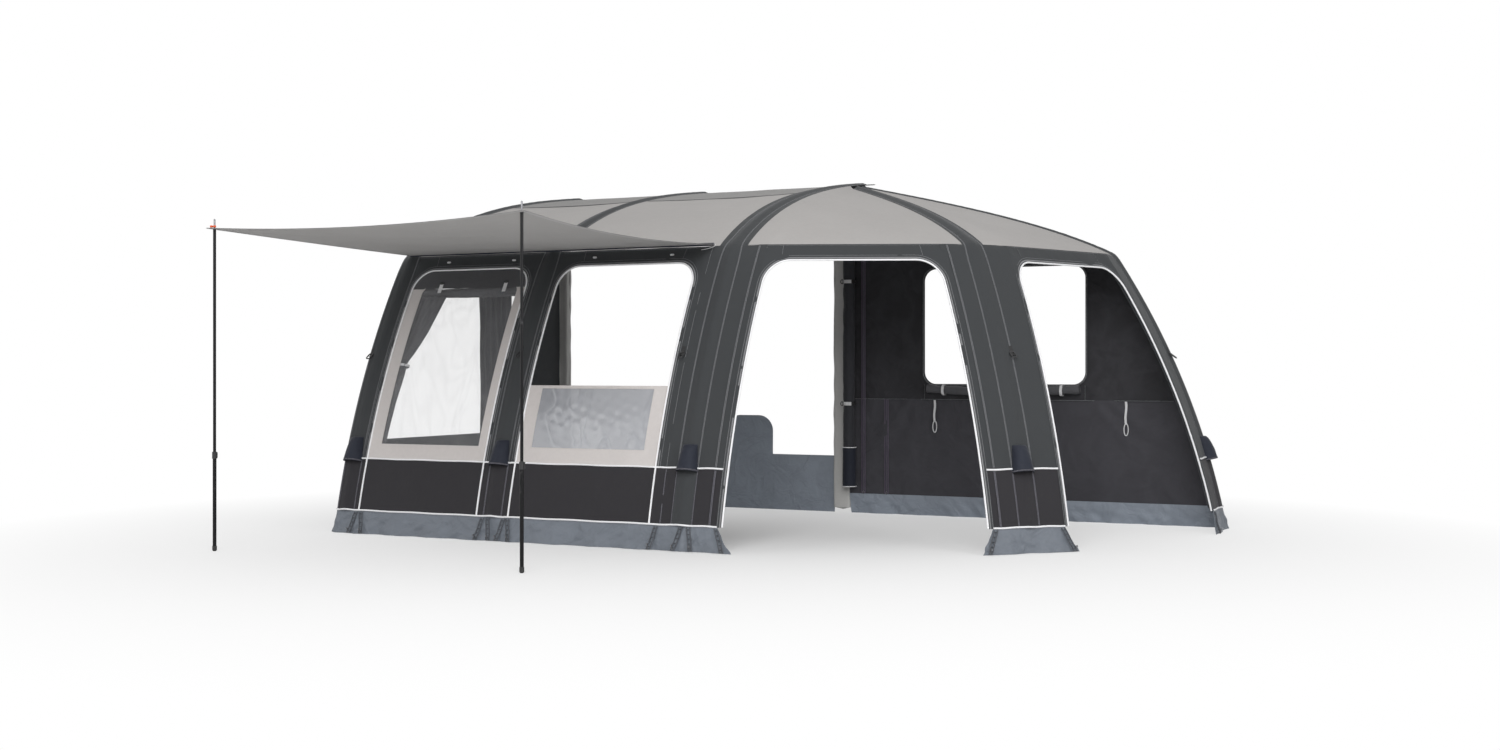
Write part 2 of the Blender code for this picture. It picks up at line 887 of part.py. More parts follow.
def side_wall():
    """The left side wall, flat, with its window."""
    front_low = wall_reach(side_window_low) - side_window_front
    front_high = wall_reach(side_window_high) - side_window_front
    window = [
        (side_window_back, side_window_low),
        (front_low, side_window_low),
        (front_high, side_window_high),
        (side_window_back, side_window_high),
    ]
    opening = rounded_loop(window, side_window_corner)
    wall = flat_outline("side_wall_left", [side_outline(), opening], "graphite", fabric)
    inset = [(x + (seam_gap if x < front_high / 2 else -seam_gap), z) for x, z in window]
    low, high = side_window_low + seam_gap, side_window_high - seam_gap
    inset = [(x, min(max(z, low), high)) for x, z in inset]
    glass = flat_outline("side_window_foil", [rounded_loop(inset, side_window_corner)], "clear_foil", foil)
    edge = -leg_1_out - panel_leg_1_left - seam_gap
    turn = Matrix((Vector((0, -1, 0)), Vector((0, 0, 1)), Vector((-1, 0, 0)))).transposed().to_4x4()
    wall.matrix_local = Matrix.Translation((edge - fabric / 2, 0, 0)) @ turn
    glass.matrix_local = Matrix.Translation((edge - fabric / 2, 0, 0)) @ turn


def rear_outline():
    """The outline of the wing's rear wall, as (place along X, height)."""
    levels = wall_levels(skirt_top, eave_height)
    points = [(wall_reach(level), level) for level in levels]
    start = eave_reach - seam_step
    end = roof_leg_3 + seam_gap
    for n in range(roof_steps + 1):
        reach = mix(start, end, n / roof_steps)
        points.append((reach, roof_height(reach, True)))
    notch = rail_height - rear_notch
    points.append((end, notch))
    points.append((-rear_wall_start, notch))
    points.append((-rear_wall_start, skirt_top))
    return points


def rear_wall():
    """The flat wall at the back of the wing, with its window opening."""
    window = [
        (rear_window_left, rear_window_low),
        (rear_window_right, rear_window_low),
        (rear_window_right, rear_window_high),
        (rear_window_left, rear_window_high),
    ]
    opening = rounded_loop(window, rear_window_corner)
    wall = flat_outline("rear_wall", [rear_outline(), opening], "graphite", fabric)
    turn = Matrix.Rotation(quarter_turn, 4, "X")
    wall.matrix_local = Matrix.Translation((0, rear_wall_back + fabric / 2, 0)) @ turn


def flap_roll():
    """The window flap rolled down and tied under the rear window."""
    points = []
    centre_y = rear_wall_back - flap_radius - seam_gap
    for n in range(flap_steps + 1):
        share = n / flap_steps
        x = mix(rear_window_left + flap_inset, rear_window_right - flap_inset, share)
        sag = flap_sag * math.sin(math.pi * share)
        points.append(Vector((x, centre_y, rear_window_low - flap_radius - sag)))
    return tube("flap_roll", points, flap_radius, "navy")


def door_roll():
    """The door panel rolled up against the pad at the wall's free edge."""
    points = []
    centre_y = rear_wall_back - apothem(door_roll_radius) - seam_gap
    x = -rear_wall_start + door_roll_inset
    for n in range(roll_steps + 1):
        points.append(Vector((x, centre_y, mix(door_roll_low, door_roll_top, n / roll_steps))))
    return tube("door_roll", points, door_roll_radius, "navy")


def foam_pad(name, x, y, top):
    """A foam strip in a fabric cover that seals a wall's end to the caravan."""
    pad = cube(name, (x - pad_width, y, pad_low), (x, y + pad_depth, top), "pad_grey")
    edge = pad.modifiers.new("rounded", "BEVEL")
    edge.width = pad_corner
    edge.segments = 2
    edge.limit_method = "ANGLE"
    return pad


# Skirts


def skirt_drop(along):
    """How far the skirt's hem waves out at a place along it."""
    return skirt_wave * math.sin(2 * math.pi * along / skirt_wave_length)


def skirt(name, path, facing):
    """A skirt from the panels' lower edge to the ground, flared along a path of (top, out) pairs."""
    top_row, seam_row, middle_row, hem_row = [], [], [], []
    along = 0.0
    last = path[0][0]
    for place, out in path:
        along += (place - last).length
        last = place
        wave = skirt_drop(along)
        height = skirt_top - seam_gap
        flare = out * (skirt_flare + wave)
        top_row.append(Vector((place.x, place.y, height)))
        seam_row.append(Vector((place.x, place.y, height - skirt_seam)))
        middle_row.append(Vector((place.x, place.y, height / 2)) + flare * skirt_middle_share)
        hem_row.append(Vector((place.x, place.y, 0)) + flare)
    return sheet(name, [top_row, seam_row, middle_row, hem_row], facing, "grey_skirt", skirt_sheet)


def run_points(first, second, out, step):
    """Points from one place to another, at about one spacing, each with its outward direction."""
    count = max(2, round((second - first).length / step))
    return [(mix(first, second, n / count), out) for n in range(count + 1)]


def main_skirt():
    """The skirt round the box section: down the left side and along the front."""
    reach = wall_reach(skirt_top)
    left = -leg_1_out - panel_leg_1_left
    back = Vector((left - seam_gap - fabric, side_wall_back, 0))
    corner_side = Vector((left - seam_gap - fabric, corner_wrap - reach, 0))
    corner_front = Vector((-leg_1_out - bulge_half_low, -reach, 0))
    end = Vector((panel_leg_3_right, -reach, 0))
    step = skirt_wave_length / 4
    path = run_points(back, corner_side, Vector((-1, 0, 0)), step)
    diagonal = (corner_front - corner_side).cross(Vector((0, 0, -1))).normalized()
    path[-1] = (corner_side, (diagonal + Vector((-1, 0, 0))).normalized())
    front = run_points(corner_front, end, Vector((0, -1, 0)), step)
    front[0] = (corner_front, (diagonal + Vector((0, -1, 0))).normalized())
    path += front
    path[-1] = (end, Vector((skirt_side_flare / skirt_flare, -1, 0)))
    return skirt("mud_skirt_main", path, Vector((-1, -1, 0)))


def leg_skirt(leg):
    """The skirt at the foot of one wing leg, wider at its hem."""
    reach = wall_reach(skirt_top)
    low_left, low_right = leg.low
    first = leg.at(reach, -low_left, 0)
    second = leg.at(reach, low_right, 0)
    path = run_points(first, second, leg.run, skirt_wave_length / 4)
    side = leg.across * (skirt_side_flare / skirt_flare)
    path[0] = (first, leg.run - side)
    if leg.number == 4:
        path[-1] = (second, leg.run + side)
    return skirt(f"mud_skirt_{leg.number}", path, leg.run)


def rear_skirt():
    """The skirt under the wing's rear wall."""
    reach = wall_reach(skirt_top)
    first = Vector((-rear_wall_start, rear_wall_back, 0))
    second = Vector((reach - seam_step, rear_wall_back, 0))
    path = run_points(first, second, Vector((0, 1, 0)), skirt_wave_length / 4)
    return skirt("mud_skirt_rear", path, Vector((0, 1, 0)))


def draught_skirt():
    """The skirt along the caravan's base, raised over the wheel."""
    top = draught_height
    left = -leg_1_out - panel_leg_1_left + pad_width
    right = -rear_wall_start - pad_width - seam_gap
    high = top + wheel_cover_rise
    corners = corner_steps(wheel_cover_corner)
    outline = [(left, 0), (right, 0), (right, top), (-wheel_cover_right, top)]
    outline += [(-wheel_cover_right - aside, high - below) for aside, below in corners]
    outline += [(-wheel_cover_left + aside, high - below) for aside, below in reversed(corners)]
    outline += [(-wheel_cover_left, top), (left, top)]
    piece = flat_outline("draught_skirt", [outline], "grey_skirt", skirt_sheet)
    turn = Matrix.Rotation(quarter_turn, 4, "X")
    y = rear_wall_back + pad_depth / 2
    piece.matrix_local = Matrix.Translation((0, y, 0)) @ turn


# Rail bead, canopy and poles


def keder():
    """The bead that slides in the caravan's rail, with its tape."""
    half = math.asin(min(1, fabric / 2 / keder_radius))
    outline = []
    for n in range(keder_sides + 1):
        turn = mix(math.pi + half, 3 * math.pi - half, n / keder_sides)
        outline.append((keder_radius * math.cos(turn), keder_radius * math.sin(turn)))
    outline.append((-keder_tail, fabric / 2))
    outline.insert(0, (-keder_tail, -fabric / 2))
    length = leg_1_out + bulge_half_high + roof_leg_3
    curve = flat_outline("rail_bead", [outline], "white_cord", length)
    middle = (roof_leg_3 - leg_1_out - bulge_half_high) / 2
    turn = Matrix((Vector((0, 1, 0)), Vector((0, 0, 1)), Vector((1, 0, 0)))).transposed().to_4x4()
    place = (middle, rail_back + keder_tail + seam_gap * 2, rail_height + fabric / 2)
    curve.matrix_local = Matrix.Translation(place) @ turn


def canopy_line():
    """The canopy's rear edge: a tube in a sleeve along the eave, clear of the sleeves' bulges."""
    leg = legs[0]
    outline = profile_rows(leg, 0, 0)
    row = len(wall_levels(skirt_top, eave_height)) - 1
    proud = bulge_height + fabric + canopy_tube + seam_gap * 2
    place = outline[row] + outward(outline, leg)[row] * proud
    return -place.y, place.z


def canopy_sleeve():
    reach, height = canopy_line()
    ends = (Vector((-canopy_rear_left, -reach, height)), Vector((-canopy_rear_right, -reach, height)))
    points = [mix(*ends, n / canopy_deep) for n in range(canopy_deep + 1)]
    return tube("canopy_bead_sleeve", points, canopy_tube, "navy")


def canopy_place(u, v):
    """A point of the canopy, a share of the way across and a share of the way out to the poles."""
    reach, height = canopy_line()
    rear = Vector((mix(-canopy_rear_left, -canopy_rear_right, u), -reach - canopy_tube - seam_gap, height))
    front_x = mix(-pole_left_x - canopy_margin, -pole_right_x + canopy_margin, u)
    front_y = mix(-pole_left_y, -pole_right_y, u) - canopy_margin
    place = mix(rear, Vector((front_x, front_y, pole_height)), v)
    bow_u = 4 * u * (1 - u)
    bow_v = 4 * v * (1 - v)
    place.x += canopy_edge_curve * bow_v * (1 - 2 * u)
    place.y += canopy_edge_curve * bow_u * v * v
    side_dip = mix(canopy_left_dip, canopy_right_dip, u) * (1 - bow_u)
    place.z -= bow_v * (side_dip + canopy_sag * bow_u / 2) + canopy_front_dip * bow_u * v * v
    return place


def canopy_corner_height(side):
    """The lowest height of the canopy over the top of a pole, on the corner's own facet."""
    near = 1 / canopy_across
    width = pole_left_x - pole_right_x
    depth = pole_left_y - eave_reach
    u = (canopy_margin + upper_tube_radius) / width * canopy_across
    v = (canopy_margin + upper_tube_radius) / depth * canopy_deep
    inner = abs(side - near)
    back = 1 - 1 / canopy_deep
    front_edge = mix(canopy_place(side, 1).z, canopy_place(inner, 1).z, u)
    back_edge = mix(canopy_place(side, back).z, canopy_place(inner, back).z, u)
    return mix(front_edge, back_edge, v)


def canopy():
    """The sun canopy: one sheet from the eave to the two poles, hollowed along its free edges."""
    rows = []
    for n in range(canopy_deep + 1):
        rows.append([canopy_place(m / canopy_across, n / canopy_deep) for m in range(canopy_across + 1)])
    piece = sheet("sun_canopy", rows, Vector((0, 0, 1)), "canopy_grey", canopy_sheet)
    for name, x, y, _ in poles:
        mesh = cylinder_mesh("eyelet", eyelet_radius, spike_height * 2)
        hole = add_piece(f"canopy_eyelet_{name}", mesh, "steel")
        hole.location = (x, y, pole_height - spike_height)
        boolean(piece, make_cutter(hole), "DIFFERENCE")
    return piece


poles = [("left", -pole_left_x, -pole_left_y, 0), ("right", -pole_right_x, -pole_right_y, 1)]


def pole(name, x, y, side):
    """A two-part telescopic pole: outer tube, inner tube, clamp with lever and rubber foot."""
    bore = lower_tube_radius - tube_wall
    tube_low = foot_height / 2
    tube_top = tube_low + lower_tube_length
    lower = [
        (bore, tube_top),
        (lower_tube_radius, tube_top),
        (lower_tube_radius, tube_low),
        (bore, tube_low),
    ]
    shift(turned(f"pole_outer_tube_{name}", lower, "black_tube"), (x, y, 0))
    socket = lower_tube_radius + socket_gap
    floor = tube_low - seam_gap
    foot = [
        (0, floor),
        (socket, floor),
        (socket, foot_height),
        (foot_radius, foot_height - foot_lip),
        (foot_radius, foot_radius / 2),
        (foot_flat, 0),
        (0, 0),
    ]
    shift(turned(f"pole_foot_{name}", foot, "black_rubber"), (x, y, 0))
    upper_top = canopy_corner_height(side) - seam_gap
    upper_low = tube_top - tube_insert
    spike_top = pole_height + spike_height
    upper = [
        (0, spike_top),
        (spike_radius, spike_top - spike_radius),
        (spike_radius, upper_top),
        (upper_tube_radius, upper_top),
        (upper_tube_radius, upper_low),
        (0, upper_low),
    ]
    shift(turned(f"pole_inner_tube_{name}", upper, "black_tube"), (x, y, 0))
    clamp(name, x, y, tube_top)
    lever(name, x, y, tube_top)


def clamp(name, x, y, tube_top):
    """The collar that grips the inner tube, with two lugs for the lever's pin."""
    low = tube_top - collar_height + collar_lip
    high = tube_top + collar_lip
    wide = lower_tube_radius + socket_gap
    slim = upper_tube_radius + socket_gap
    body = [
        (slim, high),
        (collar_radius, high - collar_lip / 2),
        (collar_radius, low),
        (wide, low),
        (wide, tube_top + seam_gap),
        (slim, tube_top + seam_gap),
    ]
    collar = shift(turned(f"pole_clamp_{name}", body, "black_rubber"), (x, y, 0))
    near = collar_radius - tube_wall
    reach = collar_radius + lug_reach
    half = lug_height / 2
    for side, start in (("low", low + lug_inset), ("high", high - lug_inset - lug_height)):
        corner = (reach, half, start + lug_height)
        lug = cube(f"lug_{side}_{name}", (near, -half, start), corner, "black_rubber")
        lug.location = (x, y, 0)
        boolean(collar, make_cutter(lug), "UNION")


def lever(name, x, y, tube_top):
    """The clamp's lever, curved round the collar, with its barrel between the lugs."""
    inset = lug_inset + lug_height + seam_gap
    low = tube_top - collar_height + collar_lip + inset
    high = tube_top + collar_lip - inset
    pin_x = collar_radius + lug_reach - lever_pin_radius
    inner = collar_radius + socket_gap
    outer = inner + lever_thickness
    outline = []
    for n in range(lever_steps + 1):
        turn = lever_sweep * n / lever_steps
        outline.append((outer * math.cos(turn), outer * math.sin(turn)))
    for n in range(lever_steps + 1):
        turn = lever_sweep * (1 - n / lever_steps)
        outline.append((inner * math.cos(turn), inner * math.sin(turn)))
    outline = [(a - pin_x, b) for a, b in outline]
    piece = as_mesh(flat_outline(f"pole_clamp_lever_{name}", [outline], "black_rubber", high - low))
    piece.location = (x + pin_x, y, (low + high) / 2)
    mesh = cylinder_mesh("barrel", lever_pin_radius, high - low)
    barrel = add_piece(f"lever_barrel_{name}", mesh, "black_rubber")
    barrel.location = (x + pin_x, y, low)
    boolean(piece, make_cutter(barrel), "UNION")
    return piece


def turn_button(number, bay, share):
    """A turn-button that holds a rolled blind, on the header under the eave."""
    low = bay.at(0, door_top)
    high = bay.at(0, eave_height)
    across = (bay.back(0, eave_height) - high).normalized()
    up = (high - low).normalized()
    out = across.cross(up)
    if out.dot(bay.facing) < 0:
        out = -out
    rise = (button_height - door_top) / (eave_height - door_top)
    place = mix(mix(low, high, rise), mix(bay.back(0, door_top), bay.back(0, eave_height), rise), share)
    place += out * (fabric + seam_gap)
    half = button_width / 2
    reach = button_length / 2 - half
    outline = []
    for side in (1, -1):
        for n in range(arc_steps + 1):
            turn = math.pi * n / arc_steps - quarter_turn
            outline.append((side * (reach + half * math.cos(turn)), side * half * math.sin(turn)))
    piece = flat_outline(f"turn_button_{number}", [outline], "white_cord", button_depth)
    piece.matrix_local = frame_matrix(place + out * button_depth / 2, across, up, out)


def centre_origin():
    """Moves the empty that holds every piece, so that the origin lies under the middle."""
    bpy.context.view_layer.update()
    graph = bpy.context.evaluated_depsgraph_get()
    corners = []
    for obj in parts.objects:
        if obj.type == "EMPTY":
            continue
        held = obj.evaluated_get(graph)
        mesh = held.to_mesh()
        corners += [held.matrix_world @ vertex.co for vertex in mesh.vertices]
        held.to_mesh_clear()
    for axis in (0, 1):
        places = [corner[axis] for corner in corners]
        ground_centre.location[axis] = -(min(places) + max(places)) / 2


def build():
    for leg in legs:
        panel = sleeve(leg)
        air_beam(leg)
        valve_eyelet(leg, panel)
        valve_hood(leg)
    for bay in bays:
        surround(bay, waist_height if bay.number < 3 else skirt_top)
        roof_panel(bay)
    lower_panel(bays[0])
    lower_panel(bays[1])
    front_window(bays[0])
    half_window(bays[1])
    blind_roll(bays[0])
    curtain(bays[0])
    side_wall()
    rear_wall()
    flap_roll()
    door_roll()
    top = rail_height - pad_top_drop
    foam_pad("foam_pad_right", -rear_wall_start - seam_gap, rear_wall_back + seam_gap, top)
    left = -leg_1_out - panel_leg_1_left + pad_width / 2
    foam_pad("foam_pad_left", left, side_wall_back + seam_gap, top)
    main_skirt()
    leg_skirt(legs[3])
    leg_skirt(legs[4])
    rear_skirt()
    draught_skirt()
    keder()
    canopy_sleeve()
    canopy()
    for name, x, y, side in poles:
        pole(name, x, y, side)
    for n, share in enumerate(button_bay_1_shares):
        turn_button(n + 1, bays[0], share)
    for n, share in enumerate(button_bay_2_shares):
        turn_button(n + 3, bays[1], share)
    centre_origin()


build()
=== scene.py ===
"""Dresses the inflatable caravan awning: cloth, foil, piping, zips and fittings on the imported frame.

Every place is in metres in the frame of the awning. The outline of the legs, the bays and the
canopy is repeated here, smoother than in the solids, because the cloth follows it closely.
"""

import math

import bpy
import numpy as np
from mathutils import Matrix, Vector


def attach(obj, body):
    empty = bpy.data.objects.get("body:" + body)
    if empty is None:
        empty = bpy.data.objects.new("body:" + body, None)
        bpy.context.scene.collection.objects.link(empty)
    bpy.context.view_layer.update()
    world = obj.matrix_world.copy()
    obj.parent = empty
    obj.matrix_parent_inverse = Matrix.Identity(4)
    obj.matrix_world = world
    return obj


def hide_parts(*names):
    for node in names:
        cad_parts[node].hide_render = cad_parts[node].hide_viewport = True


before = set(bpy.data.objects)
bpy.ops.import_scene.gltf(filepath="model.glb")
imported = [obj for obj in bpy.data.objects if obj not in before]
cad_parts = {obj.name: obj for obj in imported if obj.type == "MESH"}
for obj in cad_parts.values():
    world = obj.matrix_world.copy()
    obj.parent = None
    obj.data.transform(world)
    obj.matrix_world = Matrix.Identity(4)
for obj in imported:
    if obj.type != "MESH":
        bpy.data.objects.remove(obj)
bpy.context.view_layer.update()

# Outline of the legs, from the middle of the fan
HUB = np.array((-0.011762, 1.874325, 0.0))
RAIL_HEIGHT, RAIL_BACK = 2.50, 0.25
EAVE_HEIGHT, EAVE_REACH = 1.88, 1.99
FOOT_REACH, BOW_REACH, BOW_HEIGHT = 2.736, 2.547, 1.00
ROOF_BENDS = ((1.45, 2.24), (0.70, 2.385))
WING_BENDS = ((1.50, 2.13), (0.75, 2.30))
SKIRT_TOP, WAIST, REAR_SEAM = 0.149, 0.492, 0.867
SEAM = 0.0003
CORNER_OUT, CORNER_HALF, CORNER_WRAP = 2.53, 0.13, 0.10
ROOF_HALF, WING_HALF, END_HALF = 0.062, 0.075, 0.0997

# Openings
DOOR_TOP, DOOR_CORNER, HEM = 1.775, 0.14, 0.03
BLIND_LEVEL, BLIND_STRAP = DOOR_TOP - 0.140, (1.612, 1.674)
BORDER_LEFT, BORDER_RIGHT, BORDER_LOW, BORDER_TOP = 0.095, 0.065, 0.10, 0.12
HALF_TOP, HALF_SIDE, HALF_RIM = 0.985, 0.10, 0.018
SIDE_WALL_BACK, REAR_WALL_BACK, REAR_START = 0.155, 0.10, 0.04
WINDOW_CORNER, HEM_SHARE = 0.09, 0.96

# Canopy and poles
EAVE_ROD, ROD_RADIUS = (2.0111, 1.89265), 0.010
CANOPY_LEFT, CANOPY_RIGHT = -2.53, -0.13
POLES = {"left": (-2.524, -3.910), "right": (-0.283, -3.990)}
POLE_HEIGHT, CANOPY_MARGIN = 1.935, 0.035
CANOPY_DIPS, CANOPY_FRONT_DIP, CANOPY_SAG, CANOPY_HOLLOW = (0.010, 0.035), 0.035, 0.04, 0.05

# Cloth: thicknesses, how far its outer face stands out of the outline, and the bulge over a beam
CLOTH, FOIL, HEAVY, THIN, STRAP = 0.0016, 0.0008, 0.0024, 0.0009, 0.0012
FACE, PIPING = 0.002, 0.0058
BULGE_LOW, BULGE_HIGH, BULGE = 0.068, 0.050, 0.014
SIDE_X = -CORNER_OUT - CORNER_HALF - SEAM - FACE

RIGHT, BACK, UP = np.eye(3)
LEFT, FRONT = -RIGHT, -BACK
CIRCLE, WAVES = 2 * math.pi, 7


def make_camera():
    """The photograph's own view: in front of the awning, to the right, at chest height."""
    lens = bpy.data.cameras.new("camera")
    lens.sensor_width, lens.lens, lens.shift_y = 36.0, 38.39, -0.0037
    camera = bpy.data.objects.new("camera", lens)
    bpy.context.scene.collection.objects.link(camera)
    right, ahead = Vector((0.903, 0.430, 0)), Vector((-0.430, 0.903, 0))
    turn = Matrix((right, (0, 0, 1), -ahead)).transposed().to_4x4()
    place = Vector((4.495 + HUB[0], -11.186 + HUB[1], 1.088))
    camera.matrix_world = Matrix.Translation(place) @ turn
    bpy.context.scene.camera = camera


make_camera()


# Sums on places


def smoothstep(share):
    share = np.clip(share, 0, 1)
    return share * share * (3 - 2 * share)


def mix(a, b, share):
    return a + (b - a) * share


def bezier(points, share):
    a, b, c, d = points
    rest = 1 - share
    return a * rest**3 + 3 * b * share * rest**2 + 3 * c * share**2 * rest + d * share**3


def bump(offset, width):
    """A bell that is 1 at offset 0."""
    return np.exp(-((offset / width) ** 2))


def unit(vectors):
    vectors = np.asarray(vectors, float)
    return vectors / np.maximum(np.linalg.norm(vectors, axis=-1, keepdims=True), 1e-9)


def directed(middle):
    """The direction of travel at each of a row of places."""
    return unit(np.gradient(middle, axis=0))


def sums(steps):
    return np.concatenate([[0], np.cumsum(steps)])


def travelled(middle):
    return sums(np.linalg.norm(np.diff(middle, axis=0), axis=1))


def table(across, down):
    """A grid of coordinate pairs."""
    return np.stack(np.meshgrid(across, down), axis=-1)


def round_places(turn, first, second):
    """Directions round a circle in the plane of two directions."""
    return np.multiply.outer(np.cos(turn), first) + np.multiply.outer(np.sin(turn), second)


def spread(first, second, count):
    share = np.linspace(0, 1, count)[:, None]
    return mix(np.asarray(first, float), np.asarray(second, float), share)


def at_hub(x, y, z):
    """Places measured from the middle of the fan."""
    return np.stack(np.broadcast_arrays(x, y, z), axis=-1) + HUB


def plane_of(axis, spare=BACK):
    """Two directions across an axis."""
    first = unit(np.cross(axis, UP if abs(axis[2]) < 0.8 else spare))
    return first, np.cross(axis, first)


def squared(turn, power):
    """The two coordinates of a circle, squarish where the power is below 1."""
    return [np.sign(value) * np.abs(value) ** power for value in (np.cos(turn), np.sin(turn))]


def folds(x, y, size, seed):
    """Soft unevenness between about -1 and 1, the same on each run: waves in seeded directions."""
    pick = np.random.default_rng(seed)
    total = 0.0
    for _ in range(WAVES):
        turn = pick.uniform(0, math.pi)
        length = size * pick.uniform(0.6, 1.7)
        start = pick.uniform(0, CIRCLE)
        total = total + np.sin((x * math.cos(turn) + y * math.sin(turn)) * CIRCLE / length + start)
    return total / math.sqrt(WAVES)


# Outline, legs and bays


class Outline:
    """A leg's outline as a run of places: up the wall from the skirt, over the eave and to the top."""

    def __init__(self, bends, end_reach, end_height):
        share = np.linspace(0, 1, 160)
        reach = bezier((EAVE_REACH, bends[0][0], bends[1][0], end_reach), share)
        height = bezier((EAVE_HEIGHT, bends[0][1], bends[1][1], end_height), share)
        heights = np.linspace(0, EAVE_HEIGHT, 160)
        reaches = np.concatenate([self.wall(heights), reach[1:]])
        heights = np.concatenate([heights, height[1:]])
        run = sums(np.hypot(np.diff(reaches), np.diff(heights)))
        self.run = np.linspace(0, run[-1], 900)
        self.reaches = self.softened(np.interp(self.run, run, reaches))
        self.heights = self.softened(np.interp(self.run, run, heights))
        across = self.softened(np.gradient(self.reaches, self.run))
        up = self.softened(np.gradient(self.heights, self.run))
        size = np.hypot(across, up)
        self.out_reach, self.out_height = up / size, -across / size
        self.low, self.eave = self.at_height(SKIRT_TOP), self.at_height(EAVE_HEIGHT)
        self.top = self.run[-1]

    @staticmethod
    def softened(values, width=15):
        """A running mean, which rounds the bend of the cloth over the eave."""
        held = np.pad(values, width // 2, mode="reflect", reflect_type="odd")
        return np.convolve(held, np.ones(width) / width, "valid")

    @staticmethod
    def wall(height):
        curve, slope = EAVE_HEIGHT - 2 * BOW_HEIGHT, 2 * BOW_HEIGHT
        share = 2 * height / (slope + np.sqrt(slope * slope + 4 * curve * height))
        rest = 1 - share
        return FOOT_REACH * rest * rest + 2 * BOW_REACH * share * rest + EAVE_REACH * share * share

    def at_height(self, height):
        run = np.interp(height, self.heights, self.run)
        return run if np.ndim(height) else float(run)

    def at_reach(self, reach):
        run = np.interp(-np.asarray(reach), -self.reaches, self.run)
        return run if np.ndim(reach) else float(run)

    def spot(self, run):
        """Reach, height and the two parts of the outward direction at places along the outline."""
        values = (self.reaches, self.heights, self.out_reach, self.out_height)
        return [np.interp(run, self.run, value) for value in values]


main_outline = Outline(ROOF_BENDS, -RAIL_BACK, RAIL_HEIGHT)
hub_height = float(main_outline.spot(main_outline.at_reach(0.0))[1])
wing_outline = Outline(WING_BENDS, 0.0, hub_height)
wall_run = main_outline.at_height
waist_run, skirt_run, eave_run = wall_run(WAIST), main_outline.low, main_outline.eave
foot_reach = float(Outline.wall(SKIRT_TOP))


def bulge_half(run):
    return mix(BULGE_LOW, BULGE_HIGH, smoothstep((run - eave_run + 0.15) / 0.3))


def bulge_at(near):
    """How far a beam pushes the cloth out, at a share of its half width."""
    return BULGE * 0.5 * (1 + np.cos(math.pi * near))


def wrapped(reach, height):
    """How far the outline goes back and down where it wraps round the corner beam to the side wall."""
    back = np.minimum((reach + RAIL_BACK) / (EAVE_REACH + RAIL_BACK), 1)
    down = np.clip((height - SKIRT_TOP) / (EAVE_HEIGHT - SKIRT_TOP), 0, 1)
    return CORNER_WRAP * back, CORNER_WRAP * down


class Leg:
    """One air beam's plane, with the half widths of its cloth below the eave and above it."""

    def __init__(self, number, out, degrees, low, high):
        self.number, self.turn, self.wing = number, math.radians(degrees), degrees > 0
        self.outline = wing_outline if self.wing else main_outline
        self.foot = HUB + np.array((-out, 0, 0))
        self.ahead = np.array((math.sin(self.turn), -math.cos(self.turn), 0))
        self.across = np.array((math.cos(self.turn), math.sin(self.turn), 0))
        self.low, self.high = low, high

    def out(self, run):
        """The outward direction of the outline at places along it."""
        _, _, out_reach, out_height = self.outline.spot(run)
        return np.multiply.outer(out_reach, self.ahead) + np.multiply.outer(out_height, UP)

    def at(self, run, offset, lift=0.0):
        """Places on the leg: along its outline, aside from its middle and out of it."""
        reach, height, out_reach, out_height = self.outline.spot(run)
        reach, height = reach + out_reach * lift, height + out_height * lift
        offset = offset * np.ones_like(reach)
        place = self.foot + np.multiply.outer(reach, self.ahead)
        place = place + np.multiply.outer(offset, self.across)
        place[..., 2] += height
        if self.number == 1:
            bulge = bulge_half(run)
            beyond = ((-offset - bulge) / (self.low[0] - bulge)).clip(0, 1) ** 1.5
            back, down = wrapped(reach, height)
            place = place - (back * beyond)[..., None] * self.ahead
            place[..., 2] -= down * beyond
        return place

    def face(self, run, offset, lift=0.0):
        """Places on the leg's outer face, over the bulge of its beam."""
        near = np.minimum(np.abs(offset) / bulge_half(run), 1)
        return self.at(run, offset, FACE + bulge_at(near) + lift)

    def edge(self, run, side, lift=0.0, gap=0.0):
        """Places along the edge of the leg's cloth, on its left (0) or right (1)."""
        below = np.asarray(run) <= self.outline.eave + 0.002
        half = np.where(below, self.low[side], self.high[side])
        return self.at(run, (-1 if side == 0 else 1) * (half + gap), lift)


legs = [
    Leg(1, CORNER_OUT, 0, (CORNER_HALF, 0.08), (CORNER_HALF, ROOF_HALF)),
    Leg(2, 1.36, 0, (0.09, 0.09), (ROOF_HALF, ROOF_HALF)),
    Leg(3, 0, 0, (0.19, 0.24), (0.10, 0.10)),
    Leg(4, 0, 45, (0.24, 0.24), (WING_HALF, WING_HALF)),
    Leg(5, 0, 90, (0.27, END_HALF), (WING_HALF, END_HALF)),
]


